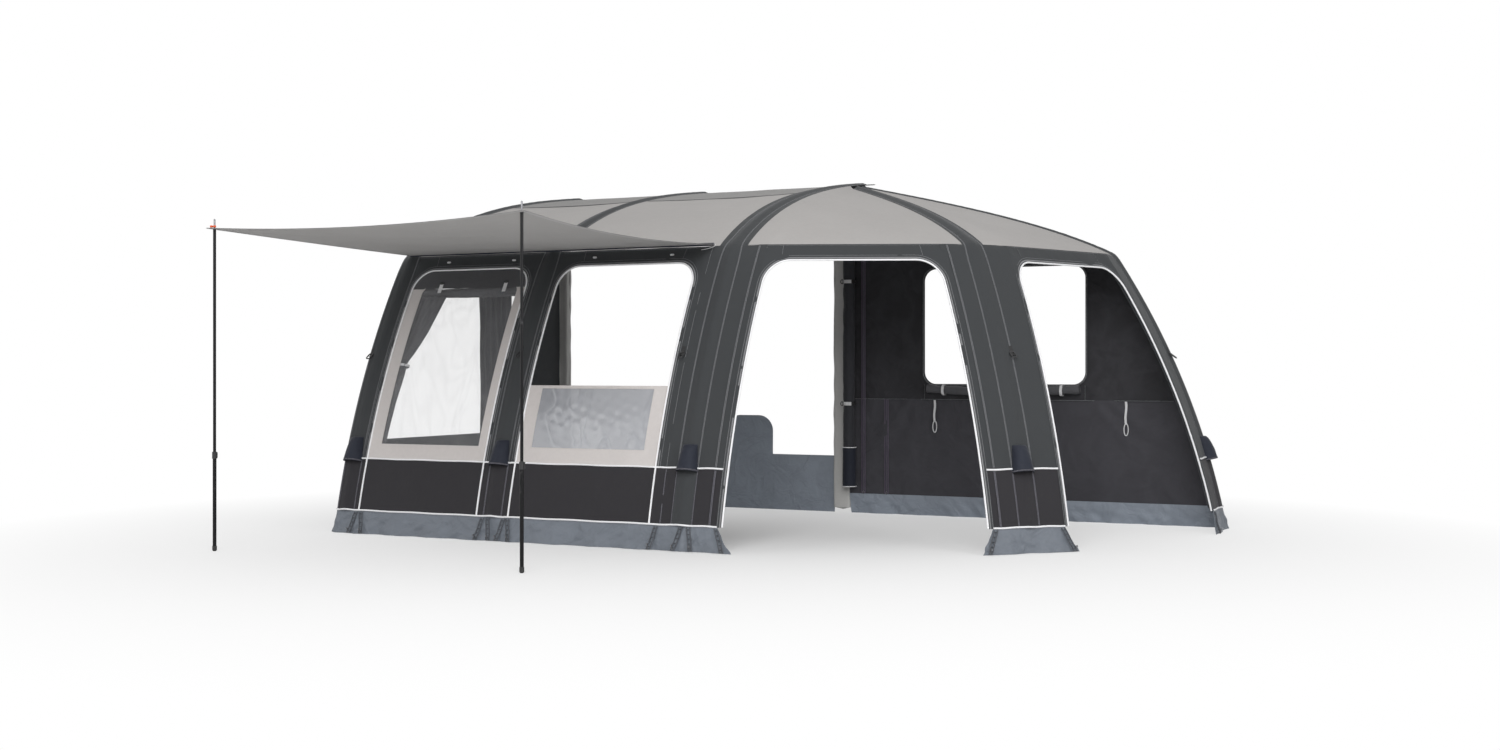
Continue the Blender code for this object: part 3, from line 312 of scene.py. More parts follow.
class Bay:
    """The cloth between two legs."""

    def __init__(self, left, right):
        self.number, self.left, self.right = left.number, left, right
        self.sleeves = [f"sleeve_{left.number}", f"sleeve_{right.number}"]

    def edges(self, run, lift=0.0):
        return self.left.edge(run, 1, lift), self.right.edge(run, 0, lift)

    def at(self, inset, run, lift=0.0):
        """Places on the wall, a distance in from the left leg's cloth (or from the right if below 0)."""
        first, second = self.edges(run, lift)
        width = np.linalg.norm(second - first, axis=-1)
        inset = inset + np.zeros_like(width)
        share = np.where(inset >= 0, inset / width, 1 + inset / width)
        return mix(first, second, share[..., None])

    def share(self, share, run, lift=0.0):
        return mix(*self.edges(run, lift), np.asarray(share, float)[..., None])

    def width(self, run):
        first, second = self.edges(run)
        return np.linalg.norm(second - first, axis=-1)

    def out(self, run):
        """The outward direction of the wall at places along it."""
        step, half = 0.004, self.left.low[1]
        first, second = self.edges(run)
        up = self.left.at(run + step, half) - self.left.at(run - step, half)
        return unit(np.cross(second - first, up))


bays = [Bay(*pair) for pair in zip(legs, legs[1:])]


# Finishes


def sum_node(operation, swapped=False):
    """An operation of Value: one Math node on this value and the others."""

    def method(self, *others):
        values = (*others, self) if swapped else (self, *others)
        return self.finish.node("ShaderNodeMath", {"operation": operation}, dict(enumerate(values)))

    return method


class Value:
    """A number that varies over a material, which takes part in Python sums."""

    def __init__(self, finish, socket):
        self.finish, self.socket = finish, socket

    __add__, __radd__ = sum_node("ADD"), sum_node("ADD", True)
    __sub__, __rsub__ = sum_node("SUBTRACT"), sum_node("SUBTRACT", True)
    __mul__, __rmul__ = sum_node("MULTIPLY"), sum_node("MULTIPLY", True)
    __truediv__, __mod__ = sum_node("DIVIDE"), sum_node("FLOORED_MODULO")
    __abs__, sine = sum_node("ABSOLUTE"), sum_node("SINE")
    at_least, at_most = sum_node("MAXIMUM"), sum_node("MINIMUM")

    def held(self):
        """Kept between 0 and 1."""
        return self.at_least(0.0).at_most(1.0)

    def teeth(self, pitch):
        """A zig-zag between 0 and 1 at a pitch."""
        return abs((self / pitch) % 1.0 - 0.5) * 2


class Finish:
    """A material under construction: its shader, and one method for every other node."""

    def __init__(self, name, colour, roughness, **sockets):
        self.material = bpy.data.materials.new(name)
        self.material.use_nodes = True
        self.tree = self.material.node_tree
        self.shader = self.tree.nodes["Principled BSDF"]
        self.colour = colour
        self.set("Base Color", (*colour, 1))
        self.set("Roughness", roughness)
        for socket, value in sockets.items():
            self.set(socket.replace("_", " "), value)

    def node(self, kind, settings=None, inputs=None, output=0):
        made = self.tree.nodes.new(kind)
        for key, value in (settings or {}).items():
            setattr(made, key, value)
        for key, value in (inputs or {}).items():
            self.put(made.inputs[key], value)
        return Value(self, made.outputs[output])

    def put(self, socket, value):
        if isinstance(value, Value):
            self.tree.links.new(value.socket, socket)
        else:
            socket.default_value = value

    def set(self, socket, value):
        self.put(self.shader.inputs[socket], value)

    def blend(self, first, second, share):
        """A colour between two colours."""
        ends = [end if isinstance(end, Value) else (*end, 1) for end in (first, second)]
        return self.node("ShaderNodeMix", {"data_type": "RGBA"}, {0: share, 6: ends[0], 7: ends[1]}, 2)

    def place(self):
        return self.node("ShaderNodeTexCoord", output=3)

    def across(self):
        """The piece's own two coordinates, in metres of cloth."""
        flat = self.node("ShaderNodeTexCoord", output=2)
        return [self.node("ShaderNodeSeparateXYZ", None, {0: flat}, n) for n in (0, 1)]

    def noise(self, scale, detail=2.0, distortion=0.0, stretch=None):
        place = self.place()
        if stretch:
            place = self.node("ShaderNodeMapping", None, {0: place, 3: stretch})
        inputs = {"Vector": place, "Scale": scale, "Detail": detail, "Distortion": distortion}
        return self.node("ShaderNodeTexNoise", None, inputs)

    def relief(self, height):
        """Bump from a height in metres."""
        inputs = {"Height": height, "Distance": 1.0, "Strength": 1.0}
        self.set("Normal", self.node("ShaderNodeBump", None, inputs))
        return self

    def shade(self, share, colour):
        self.set("Base Color", self.blend(self.colour, colour, share))

    def weave(self, size):
        """Height of a plain weave on the piece's own cloth coordinates, from 0 to 1."""
        u, v = self.across()
        turn = CIRCLE / size
        warp = (u * turn).sine() * (v * (turn / 2)).sine()
        weft = (u * (turn / 2)).sine() * (v * turn).sine()
        return (warp + weft) * 0.25 + 0.5

    def creases(self, scale, distortion=1.2):
        """Narrow folds that wander over the cloth, from 0 to 1."""
        return (1 - abs(self.noise(scale, 3.0, distortion) - 0.5) * 9).held()


def tone(colour, factor):
    return tuple(min(1.0, part * factor) for part in colour)


def woven(name, colour, roughness=0.86, size=0.0011, crease=0.0009, scale=2.6, soft=0.004, upper=None):
    """Coated woven cloth: weave, soft unevenness, faint creases and a slight change of tone. Given an upper
    colour, the cloth above the rear seam takes that darker colour as painted shade, and its creases are
    lightened as painted highlights.
    """
    finish = Finish(name, colour, roughness, Specular_IOR_Level=0.32, Sheen_Weight=0.08)
    drift, mottle = finish.noise(1.7, 3.0), finish.noise(46.0, 2.0)
    share = (drift * 0.7 + mottle * 0.5 - 0.1).held()
    shown = finish.blend(tone(colour, 0.90), tone(colour, 1.09), share)
    if upper:
        # Painted shade: above the rear seam the colour turns to the darker upper colour
        height = finish.node("ShaderNodeSeparateXYZ", None, {0: finish.place()}, 2)
        dark = finish.blend(tone(upper, 0.90), tone(upper, 1.09), share)
        shown = finish.blend(shown, dark, ((height - REAR_SEAM) * 300).held())
        # Painted highlights: the cloth is lightened along its creases
        shown = finish.blend(shown, tone(colour, 1.7), finish.creases(3.4, 0.5) * 0.15)
    finish.set("Base Color", shown)
    finish.set("Roughness", mottle * 0.10 + (roughness - 0.05))
    relief = finish.weave(size) * 0.00009 + finish.creases(scale) * crease
    return finish.relief(relief + finish.noise(6.0, 2.0, 0.6) * soft)


def sheeting(name, colour):
    """PVC-coated sheet: satin, with sharp little creases that are darkened with painted shade."""
    finish = Finish(name, colour, 0.5, Specular_IOR_Level=0.4)
    drift, scuff = finish.noise(3.1, 3.0), finish.noise(80.0, 3.0, 0.4)
    share = (drift * 0.8 + scuff * 0.4 - 0.1).held()
    finish.set("Roughness", scuff * 0.22 + 0.4)
    creased = finish.creases(4.2, 0.8) + finish.creases(4.2 * 2.3, 0.6) * 0.4
    worn = finish.blend(tone(colour, 0.84), tone(colour, 1.12), share)
    # Painted shade: the sheet is darkened along its creases
    finish.set("Base Color", finish.blend(worn, tone(colour, 0.70), (creased * 0.24).held()))
    return finish.relief(creased * 0.0036 + finish.weave(0.0014) * 0.00006)


def clear_sheet(name, colour, alpha, ripple, roughness=0.06, share=0.05, scale=2.2):
    """Clear window foil: glossy, rippled and mostly see-through, with painted glints: narrow streaks where
    it is more opaque.
    """
    finish = Finish(name, colour, roughness, Specular_IOR_Level=0.7, Coat_Weight=0.5, Coat_Roughness=0.04)
    wander = finish.noise(scale, 2.0, 0.4, (1.0, 1.0, 0.45))
    # Painted glints: narrow streaks where the foil is more opaque, also bumped a little
    painted_glint = (1 - abs(wander - 0.5) * 26).held() + (1 - abs(wander - 0.42) * 40).held()
    finish.set("Alpha", (painted_glint * share + alpha).held())
    finish.set("Roughness", finish.noise(9.0) * 0.08 + roughness)
    return finish.relief(painted_glint * ripple + finish.noise(3.5, 2.0, 0.8) * (ripple * 5))


def stitched(name, colour, thread, rows=2):
    """A narrow tape with rows of zig-zag stitching along it; its first coordinate runs from 0 to 1."""
    pitch, apart, reach = 0.009, 0.26, 0.13
    finish = Finish(name, colour, 0.8)
    u, v = finish.across()
    swing = (v.teeth(pitch) - 0.5) * (2 * reach)
    middles = [0.5] if rows == 1 else [0.5 - apart, 0.5 + apart]
    seams = [(1 - abs(u - middle - swing) * 9).held() for middle in middles]
    mask = seams[0] if rows == 1 else (seams[0] + seams[1]).held()
    finish.shade(mask, thread)
    finish.set("Roughness", 0.85 - mask * 0.25)
    return finish.relief(mask * 0.0006 + finish.noise(300.0) * 0.0001)


def zip_tape(name, colour, teeth):
    """A zip: a ribbed coil down the middle of a woven tape."""
    finish = Finish(name, colour, 0.75)
    u, v = finish.across()
    middle, coil = (1 - abs(u - 0.5) * 4.5).held(), v.teeth(0.0035)
    bar = (middle * 6).held()
    finish.shade(bar * (coil * 0.6 + 0.4), teeth)
    finish.set("Roughness", 0.75 - bar * 0.35)
    return finish.relief(middle * 0.0015 + coil * bar * 0.0008)


def moulded(name, colour, roughness=0.45, grain=0.00006):
    """Moulded plastic or rubber with a fine grain and scuffs."""
    finish = Finish(name, colour, roughness)
    scuff = finish.noise(120.0, 3.0, 0.5)
    finish.set("Roughness", scuff * 0.25 + (roughness - 0.1))
    finish.shade((scuff * 0.8 - 0.2).held(), tone(colour, 1.5))
    return finish.relief(finish.noise(900.0) * grain)


def anodised(name, colour):
    """Black anodised tube: brushed along its length, a little worn."""
    finish = Finish(name, colour, 0.32, Metallic=0.85)
    brushed = finish.noise(260.0, 2.0, 0.0, (1.0, 1.0, 0.02))
    wear = (finish.noise(22.0, 4.0, 0.6) * 6 - 3.7).held()
    finish.set("Roughness", brushed * 0.2 + wear * 0.15 + 0.2)
    finish.shade(wear * 0.35, (0.16, 0.16, 0.165))
    return finish.relief(brushed * 0.00003)


def webbing(name, colour):
    """Woven strap with ribs across it."""
    finish = Finish(name, colour, 0.7)
    rib = finish.across()[1].teeth(0.0024)
    finish.shade(rib * 0.35, tone(colour, 0.6))
    return finish.relief(rib * 0.00025 + finish.noise(400.0) * 0.0001)


def bare_steel(name, colour):
    finish = Finish(name, colour, 0.3, Metallic=1.0)
    finish.set("Roughness", finish.noise(140.0) * 0.25 + 0.2)
    return finish


GRAPHITE, ANTHRACITE = (0.043, 0.046, 0.049), (0.024, 0.0225, 0.026)
SKIRT_GREY, CHARCOAL = (0.165, 0.185, 0.215), (0.052, 0.051, 0.059)
# The last colour on the next line is painted shade: the rear wall's charcoal, darkened for its part above
# the seam
NAVY, BEIGE, PAINTED_SHADE_CHARCOAL = (0.012, 0.015, 0.026), (0.61, 0.575, 0.56), (0.028, 0.0275, 0.031)

# The finishes of each of the record's material slots
SLOTS = {
    "graphite": {
        "graphite": woven("graphite cloth", GRAPHITE),
        # The rear wall's cloth, with painted shade above its seam and painted highlights on its creases
        "charcoal": woven(
            "charcoal inner cloth", CHARCOAL, 0.8, crease=0.0034, scale=2.4, soft=0.012, upper=PAINTED_SHADE_CHARCOAL
        ),
        "stitch": stitched("seam stitching", tone(GRAPHITE, 1.1), (0.32, 0.32, 0.34)),
        "fine stitch": stitched("fine stitching", GRAPHITE, (0.38, 0.38, 0.40), rows=1),
        "zip": zip_tape("zip", tone(GRAPHITE, 1.3), (0.32, 0.32, 0.33)),
        "dark zip": zip_tape("dark zip", (0.022, 0.020, 0.028), (0.10, 0.09, 0.12)),
        "zip track": moulded("zip track", (0.115, 0.090, 0.135), 0.5),
    },
    "anthracite": {
        "anthracite": woven("anthracite cloth", ANTHRACITE, 0.82, crease=0.0007),
        "dark stitch": stitched("dark seam stitching", tone(ANTHRACITE, 1.3), (0.27, 0.27, 0.32)),
    },
    "grey_skirt": {
        "skirt": sheeting("grey skirt sheeting", SKIRT_GREY),
        # A lighter copy of the skirt sheeting: painted light for the skirts inside and at the back, where
        # the lamps reach less
        "inner skirt": sheeting("inner skirt sheeting", tone(SKIRT_GREY, 1.85)),
        "ladder": moulded("pegging ladder", (0.055, 0.060, 0.070), 0.55),
    },
    "roof_grey": {
        "roof": woven("roof cloth", (0.42, 0.405, 0.395), 0.8, crease=0.0005, scale=1.6, soft=0.006),
        # The roof cloth darkened: painted shade for the roof's slope along the rail
        "strip": woven("roof strip cloth", (0.27, 0.265, 0.26), 0.8),
    },
    "canopy_grey": {
        "canopy": woven("canopy cloth", (0.42, 0.41, 0.40), 0.8, crease=0.0006, scale=1.4, soft=0.006),
        "canopy hem": stitched("canopy hem", (0.52, 0.51, 0.51), (0.30, 0.30, 0.30), rows=1),
    },
    "beige": {
        "beige": woven("beige border cloth", BEIGE, 0.75, crease=0.0006),
        "white hem": stitched("border hem", tone(BEIGE, 1.05), tone(BEIGE, 0.7), rows=1),
    },
    "curtain_grey": {"curtain": woven("curtain cloth", (0.085, 0.085, 0.09), 0.9, 0.0016)},
    "navy": {
        "navy": woven("navy hood cloth", NAVY, 0.7, crease=0.0010, scale=9.0),
        "roll": woven("rolled cloth", (0.035, 0.036, 0.042), 0.78, crease=0.0016, scale=7.0),
        "flap": woven("window flap cloth", (0.085, 0.085, 0.092), 0.78, crease=0.0016, scale=7.0),
    },
    "pad_grey": {"pad": woven("foam pad cover", (0.60, 0.595, 0.58), 0.92, 0.0024, crease=0.0004)},
    "beam_blue": {"beam": woven("beam cover cloth", (0.075, 0.080, 0.088), 0.7, crease=0.0006)},
    "clear_foil": {
        "foil": clear_sheet("clear window foil", (0.72, 0.73, 0.76), 0.07, 0.00004, share=0.025),
        "crinkled": clear_sheet("crinkled window foil", (0.40, 0.41, 0.44), 0.72, 0.0013, 0.14, 0.16, 3.0),
    },
    "white_cord": {
        "piping": moulded("white piping", (0.86, 0.86, 0.88)),
        "white strap": webbing("white strap", (0.75, 0.75, 0.76)),
        "white plastic": moulded("white moulded plastic", (0.72, 0.72, 0.73), 0.4),
    },
    "black_rubber": {
        "black strap": webbing("black strap", (0.016, 0.016, 0.017)),
        "black plastic": moulded("black moulded plastic", (0.020, 0.020, 0.021)),
        "rubber": moulded("black rubber", (0.022, 0.022, 0.022), 0.7, 0.0001),
        "orange": moulded("orange plastic", (0.75, 0.10, 0.02), 0.4),
    },
    "black_tube": {
        "black tube": anodised("black anodised tube", (0.018, 0.018, 0.019)),
        "steel": bare_steel("steel spike", (0.20, 0.20, 0.21)),
    },
}
looks = {name: (finish.material, slot) for slot, group in SLOTS.items() for name, finish in group.items()}


# Making pieces


def only(piece):
    """Makes a piece the one that is selected and active."""
    bpy.ops.object.select_all(action="DESELECT")
    piece.select_set(True)
    bpy.context.view_layer.objects.active = piece


def settle(piece, name, finish, body="awning"):
    """Names a new piece, gives it its finish and lets it ride on a body."""
    material, slot = looks[finish]
    piece.name = piece.data.name = name
    piece.data.materials.clear()
    piece.data.materials.append(material)
    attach(piece, body)
    return piece


def weld(piece, outward=True):
    """Joins vertices that lie on each other, and turns the faces outward."""
    only(piece)
    bpy.ops.object.mode_set(mode="EDIT")
    bpy.ops.mesh.select_all(action="SELECT")
    bpy.ops.mesh.remove_doubles(threshold=0.00002)
    if outward:
        bpy.ops.mesh.normals_make_consistent(inside=False)
    bpy.ops.object.mode_set(mode="OBJECT")


def smooth(piece, degrees=50):
    only(piece)
    bpy.ops.object.shade_smooth_by_angle(angle=math.radians(degrees))


def bare_grid(places, metres):
    """A grid through rows of places, with its own coordinates in metres."""
    rows, columns = places.shape[:2]
    bpy.ops.object.select_all(action="DESELECT")
    bpy.ops.mesh.primitive_grid_add(x_subdivisions=columns - 1, y_subdivisions=rows - 1, size=1)
    piece = bpy.context.object
    mesh = piece.data
    flat = np.empty(len(mesh.vertices) * 3)
    mesh.vertices.foreach_get("co", flat)
    flat = flat.reshape(-1, 3) + 0.5
    column = np.rint(flat[:, 0] * (columns - 1)).astype(int)
    row = np.rint(flat[:, 1] * (rows - 1)).astype(int)
    mesh.vertices.foreach_set("co", places[row, column].reshape(-1))
    corner = np.empty(len(mesh.loops), int)
    mesh.loops.foreach_get("vertex_index", corner)
    spread_out = metres[row, column][corner]
    mesh.uv_layers[0].data.foreach_set("uv", spread_out.astype(np.float32).reshape(-1))
    mesh.update()
    return piece


def sheet(name, places, finish, facing, metres=None, thick=CLOTH, body="awning", welded=False):
    """A sheet of cloth through rows of places, its outer face on them and its thickness behind."""
    if metres is None:
        down = np.linalg.norm(np.diff(places, axis=0), axis=2).mean(axis=1)
        along = np.linalg.norm(np.diff(places, axis=1), axis=2).mean(axis=0)
        metres = table(sums(along), sums(down))
    piece = bare_grid(places, metres)
    mesh = piece.data
    normals, areas = np.empty(len(mesh.polygons) * 3), np.empty(len(mesh.polygons))
    mesh.polygons.foreach_get("normal", normals)
    mesh.polygons.foreach_get("area", areas)
    total = (normals.reshape(-1, 3) * areas[:, None]).sum(axis=0)
    if total @ np.asarray(facing, float) < 0:
        mesh.flip_normals()
    if welded:
        weld(piece, outward=False)
    settle(piece, name, finish, body)
    shell = piece.modifiers.new("solidify", "SOLIDIFY")
    shell.thickness, shell.offset, shell.use_even_offset = thick, -1, False
    only(piece)
    bpy.ops.object.modifier_apply(modifier=shell.name)
    smooth(piece)
    return piece


def cloth(name, places, finish, facing, held, node=None, rests_on=(), **options):
    """A sheet of cloth, which hides the solid of the node it replaces if one is given."""
    piece = sheet(name, places, finish, facing, **options)
    if node:
        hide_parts(node)
    return piece


def tape(name, middle, side, out, width, finish, lift=0.0006, thick=0.0006, body="awning"):
    """A flat tape along places, with its first coordinate from 0 to 1 across it."""
    spots = np.array((-0.5, -0.25, 0.25, 0.5))
    crown = np.array((0, 0.0003, 0.0003, 0)) + lift
    side, out = (np.broadcast_to(np.asarray(value, float), middle.shape) for value in (side, out))
    places = middle[:, None] + (side * width)[:, None] * spots[:, None] + out[:, None] * crown[:, None]
    return sheet(name, places, finish, out.mean(axis=0), table(spots + 0.5, travelled(middle)), thick, body)


def ribbon(name, middle, out, width, finish, **options):
    """A tape that lies along its path."""
    out = np.broadcast_to(np.asarray(out, float), middle.shape)
    return tape(name, middle, unit(np.cross(out, directed(middle))), out, width, finish, **options)


def line(name, places, radius, finish, sides=2, cyclic=False):
    """A round cord or pipe along places."""
    curve = bpy.data.curves.new(name, "CURVE")
    curve.dimensions, curve.bevel_depth, curve.bevel_resolution = "3D", radius, sides
    curve.use_fill_caps = not cyclic
    spline = curve.splines.new("POLY")
    spline.points.add(len(places) - 1)
    for point, place in zip(spline.points, places):
        point.co = (*place, 1)
    spline.use_cyclic_u = cyclic
    piece = bpy.data.objects.new(name, curve)
    bpy.context.scene.collection.objects.link(piece)
    only(piece)
    bpy.ops.object.convert(target="MESH")
    piece = bpy.context.object
    weld(piece)
    settle(piece, name, finish)
    smooth(piece, 60)
    return piece


def ring(name, place, across, up, size, radius, finish, power=1.0):
    """A round or squarish ring in the plane of two directions."""
    turn = np.linspace(0, CIRCLE, 33)[:-1]
    x, y = squared(turn, power)
    places = np.asarray(place) + np.outer(x * size[0], across) + np.outer(y * size[1], up)
    return line(name, places, radius, finish, 2, True)


def closed_grid(name, places, metres, finish):
    """A closed body through rows of places that meet at both ends."""
    piece = bare_grid(places, metres)
    weld(piece)
    settle(piece, name, finish)
    smooth(piece, 60)
    return piece


def lathe(name, profile, place, axis, finish):
    """A turned piece: (radius, height) pairs swept round an axis."""
    turn = np.linspace(0, CIRCLE, 33)
    profile = np.array(profile, float)
    radius, height = profile.T[..., None, None]
    places = place + height * axis + radius * round_places(turn, *plane_of(axis, RIGHT))
    return closed_grid(name, places, table(turn * max(profile[:, 0]), travelled(profile)), finish)


def hose(name, middle, radius, finish, side, around=24, flat_end=0.5, wobble=0.0):
    """A closed round body along places, rounded off at its ends, its coordinates in metres."""
    ahead, run = directed(middle), travelled(middle)
    up = unit(np.cross(side, ahead))
    turn = np.linspace(0, CIRCLE, around + 1)
    ends = np.linspace(0, math.pi / 2, 5)[:-1]
    size = radius * (1 + wobble * folds(turn[None] * radius, run[:, None], 0.2, len(name)))
    size[:, -1] = size[:, 0]
    around_it = side * np.cos(turn)[:, None] + up[:, None] * np.sin(turn)[:, None]
    caps = []
    for end, sign in ((0, -1), (-1, 1)):
        out, rim = sign * ahead[end] * radius * flat_end, around_it[end] * radius
        caps.append(np.stack([middle[end] + out * math.cos(t) + rim * math.sin(t) for t in ends]))
    places = np.concatenate([caps[0], middle[:, None] + around_it * size[..., None], caps[1][::-1]])
    rows = np.concatenate([run[:1] + 0 * ends, run, run[-1:] + 0 * ends])
    return closed_grid(name, places, table(turn * radius, rows), finish)


def rolled(name, node, middle, radius, finish, turns, straps, squeeze):
    """A roll of cloth along places: a spiral of layers, drawn in where straps hold it."""
    ahead, run = directed(middle), travelled(middle)
    side = unit(np.cross(ahead, UP if abs(ahead[0][2]) < 0.8 else BACK))
    up = np.cross(side, ahead)
    tight = 1 - squeeze * sum(bump(run - place, 0.035) for place in straps)
    angle = np.linspace(0, CIRCLE * turns, int(26 * turns))
    layer = radius * (0.28 + 0.70 * angle / angle[-1])
    wave = 1 + 0.05 * folds(angle[None] * 0.05, run[:, None], 0.12, len(name))
    lobes = 1 + 0.04 * np.sin(angle[None] * 2 + run[:, None] * 9)
    size = layer[None] * tight[:, None] * np.minimum(wave * lobes, 1.02)
    flat = side[:, None] * np.cos(angle)[:, None] + up[:, None] * np.sin(angle)[:, None]
    places = middle[:, None] + flat * size[..., None]
    cloth(name, places, finish, (0, 0, 0), "folded", node, thick=THIN)


def tie_cord():
    """The cord that ties the canopy's end to the awning, with its loose tail."""
    bends = np.array((
        (-0.129, -2.0226, 1.893), (-0.116, -2.029, 1.8915), (-0.107, -2.035, 1.886),
        (-0.110, -2.038, 1.878), (-0.126, -2.039, 1.871), (-0.150, -2.039, 1.865),
        (-0.178, -2.038, 1.860), (-0.207, -2.037, 1.857),
    ))
    share, fine = np.linspace(0, 1, len(bends)), np.linspace(0, 1, 50)
    path = at_hub(*(np.interp(fine, share, part) for part in bends.T))
    for _ in range(6):
        path[1:-1] = (path[:-2] + 2 * path[1:-1] + path[2:]) / 4
    piece = line("canopy_tie_cord", path, 0.0015, "white strap")
    length, path = float(travelled(path)[-1]), [tuple(place) for place in path]


tie_cord()


# Legs


def sleeve_end(leg, offset):
    """Where a roof sleeve ends, at places across it: at the rail, or against the sleeves round the hub."""
    if not leg.wing:
        return np.full_like(offset, leg.outline.top)
    sine, cosine = math.sin(leg.turn), math.cos(leg.turn)
    reach = (legs[2].high[1] + SEAM - offset * cosine) / sine
    if leg.number == 4:
        reach = np.maximum(reach, (offset * sine + WING_HALF + SEAM) / cosine)
    return leg.outline.at_reach(reach)


def across_leg(leg, run, side, half):
    """Offset and lift of the cloth over the beam, at places from one edge (-1) to the other (1)."""
    bulge = bulge_half(run)
    near, far = np.minimum(np.abs(side) * 2, 1), np.maximum(np.abs(side) * 2 - 1, 0)
    offset = np.sign(side) * mix(bulge * near, np.where(side < 0, *half), far)
    pucker = folds(offset, run, 0.16, leg.number) * 0.0012 * 4 * far * (1 - far)
    pucker = pucker + folds(offset * 3, run, 0.05, leg.number + 9) * 0.0006 * (1 - near**6)
    return offset, FACE + bulge_at(near) + pucker


def leg_pieces(leg):
    """A leg's foot, its sleeve up to the rail and the seams beside its beam."""
    name, node = f"sleeve_{leg.number}", f"beam_sleeve_{leg.number}"
    facing, beneath = leg.ahead + UP, [f"air_beam_cover_{leg.number}"]
    side = np.linspace(-1, 1, 41)
    foot, lower = (
        np.linspace(*ends)[:, None] + 0 * side
        for ends in ((skirt_run, waist_run - 0.0015, 20), (waist_run, eave_run, 70))
    )
    places = leg.at(foot, *across_leg(leg, foot, side, leg.low))
    cloth(f"{name}_foot", places, "anthracite", facing, "stretched", node, beneath)
    end = sleeve_end(leg, across_leg(leg, np.full_like(side, eave_run + 1), side, leg.high)[0])
    upper = mix(eave_run + 0.004, end, np.linspace(0, 1, 90)[:, None])
    halves = ((lower, leg.low), (upper, leg.high))
    parts = [(run, *across_leg(leg, run, side, half)) for run, half in halves]
    run, offset, lift = (np.concatenate(part) for part in zip(*parts))
    metres = np.stack([offset, run], axis=-1)
    cloth(name, leg.at(run, offset, lift), "graphite", facing, "stretched", node, beneath, metres=metres)
    for hand, sign in (("left", -1), ("right", 1)):
        top = float(sleeve_end(leg, sign * BULGE_HIGH))
        for part, finish, low, high in (
            ("foot", "dark stitch", skirt_run, waist_run), ("leg", "stitch", waist_run, top),
        ):
            run = np.linspace(low, high, int((high - low) / 0.02))
            middle = leg.at(run, sign * bulge_half(run), FACE)
            tape(f"{name}_{part}_seam_{hand}", middle, leg.across, leg.out(run), 0.011, finish)


for leg in legs:
    leg_pieces(leg)


# Bays: walls round the doors and windows

SIDE_STEPS, BEND_STEPS, TOP_STEPS = 26, 12, 24


def arch(bay, low, top, left, right, corner):
    """An opening's outline on a bay, as shares of its width and runs up the wall."""
    turn = np.linspace(0, math.pi / 2, BEND_STEPS)[1:-1]
    side = np.linspace(low, top - corner, SIDE_STEPS)
    run = wall_run(np.concatenate([side, top - corner * (1 - np.sin(turn))]))
    inset = np.concatenate([0 * side, corner * (1 - np.cos(turn))])
    width, top_width = bay.width(run), float(bay.width(wall_run(top)))
    middle = np.linspace((left + corner) / top_width, 1 - (right + corner) / top_width, TOP_STEPS)
    share = np.concatenate([(left + inset) / width, middle, (1 - (right + inset) / width)[::-1]])
    return share, np.concatenate([run, np.full(TOP_STEPS, wall_run(top)), run[::-1]])


def header(bay, low):
    """The outer edge of the cloth round an opening: up the leg, along the eave and down the next."""
    half = BEND_STEPS // 2 - 1
    side = np.linspace(low, DOOR_TOP - DOOR_CORNER, SIDE_STEPS)
    rise = np.linspace(DOOR_TOP - DOOR_CORNER, EAVE_HEIGHT, half + 1)[1:]
    run = wall_run(np.concatenate([side, rise]))
    end = (HEM + DOOR_CORNER) / float(bay.width(eave_run))
    aside = np.linspace(0, end, BEND_STEPS - half)[1:-1]
    middle = np.linspace(end, 1 - end, TOP_STEPS)
    share = np.concatenate([0 * run, aside, middle, 1 - aside[::-1], 0 * run + 1])
    return share, np.concatenate([run, np.full(2 * len(aside) + TOP_STEPS, eave_run), run[::-1]])


def bay_tape(name, bay, path, width, finish):
    """A tape along a path on a bay."""
    ribbon(name, bay.share(*path, FACE), bay.out(path[1]), width, finish)


def between(bay, inner, outer, rows, seed, size):
    """A grid of places between two paths on a bay, with a little unevenness."""
    step = np.linspace(0, 1, rows)[:, None]
    share, run = (mix(*ends, step) for ends in zip(inner, outer))
    return bay.share(share, run, FACE + folds(share, run, 0.2, seed) * size * 4 * step * (1 - step))


def piping(name, places):
    line(name, places, PIPING, "piping", sides=3)


def surround(bay):
    """The cloth round a door or window with its piping, zip and stitching."""
    number, low = bay.number, WAIST if bay.number < 3 else SKIRT_TOP

    def rim(out):
        return arch(bay, low, DOOR_TOP + out, HEM - out, HEM - out, DOOR_CORNER + max(out, 0))

    places = between(bay, rim(0), header(bay, low), 9, number, 0.0015)
    facing, node = bay.left.ahead + bay.right.ahead, f"bay_surround_{number}"
    cloth(f"surround_{number}", places, "graphite", facing, "stretched", node, bay.sleeves[:1])
    piping(f"door_piping_{number}", bay.share(*rim(-0.001), FACE + 0.002))
    eave = np.linspace(0, 1, 40), np.full(40, eave_run - 0.012)
    for name, path, width, finish in (
        ("door_zip", rim(0.014), 0.016, "zip"),
        ("door_stitching", rim(0.03), 0.009, "fine stitch"),
        ("eave_stitching", eave, 0.007, "fine stitch"),
    ):
        bay_tape(f"{name}_{number}", bay, path, width, finish)


def rows_on(bay, low, high, rows):
    """Runs up a bay in rows, the shares of its width in columns, and how free the cloth is across."""
    share, run = np.meshgrid(np.linspace(0, 1, 50), np.linspace(low, high, rows))
    return run, share, np.sin(math.pi * share)


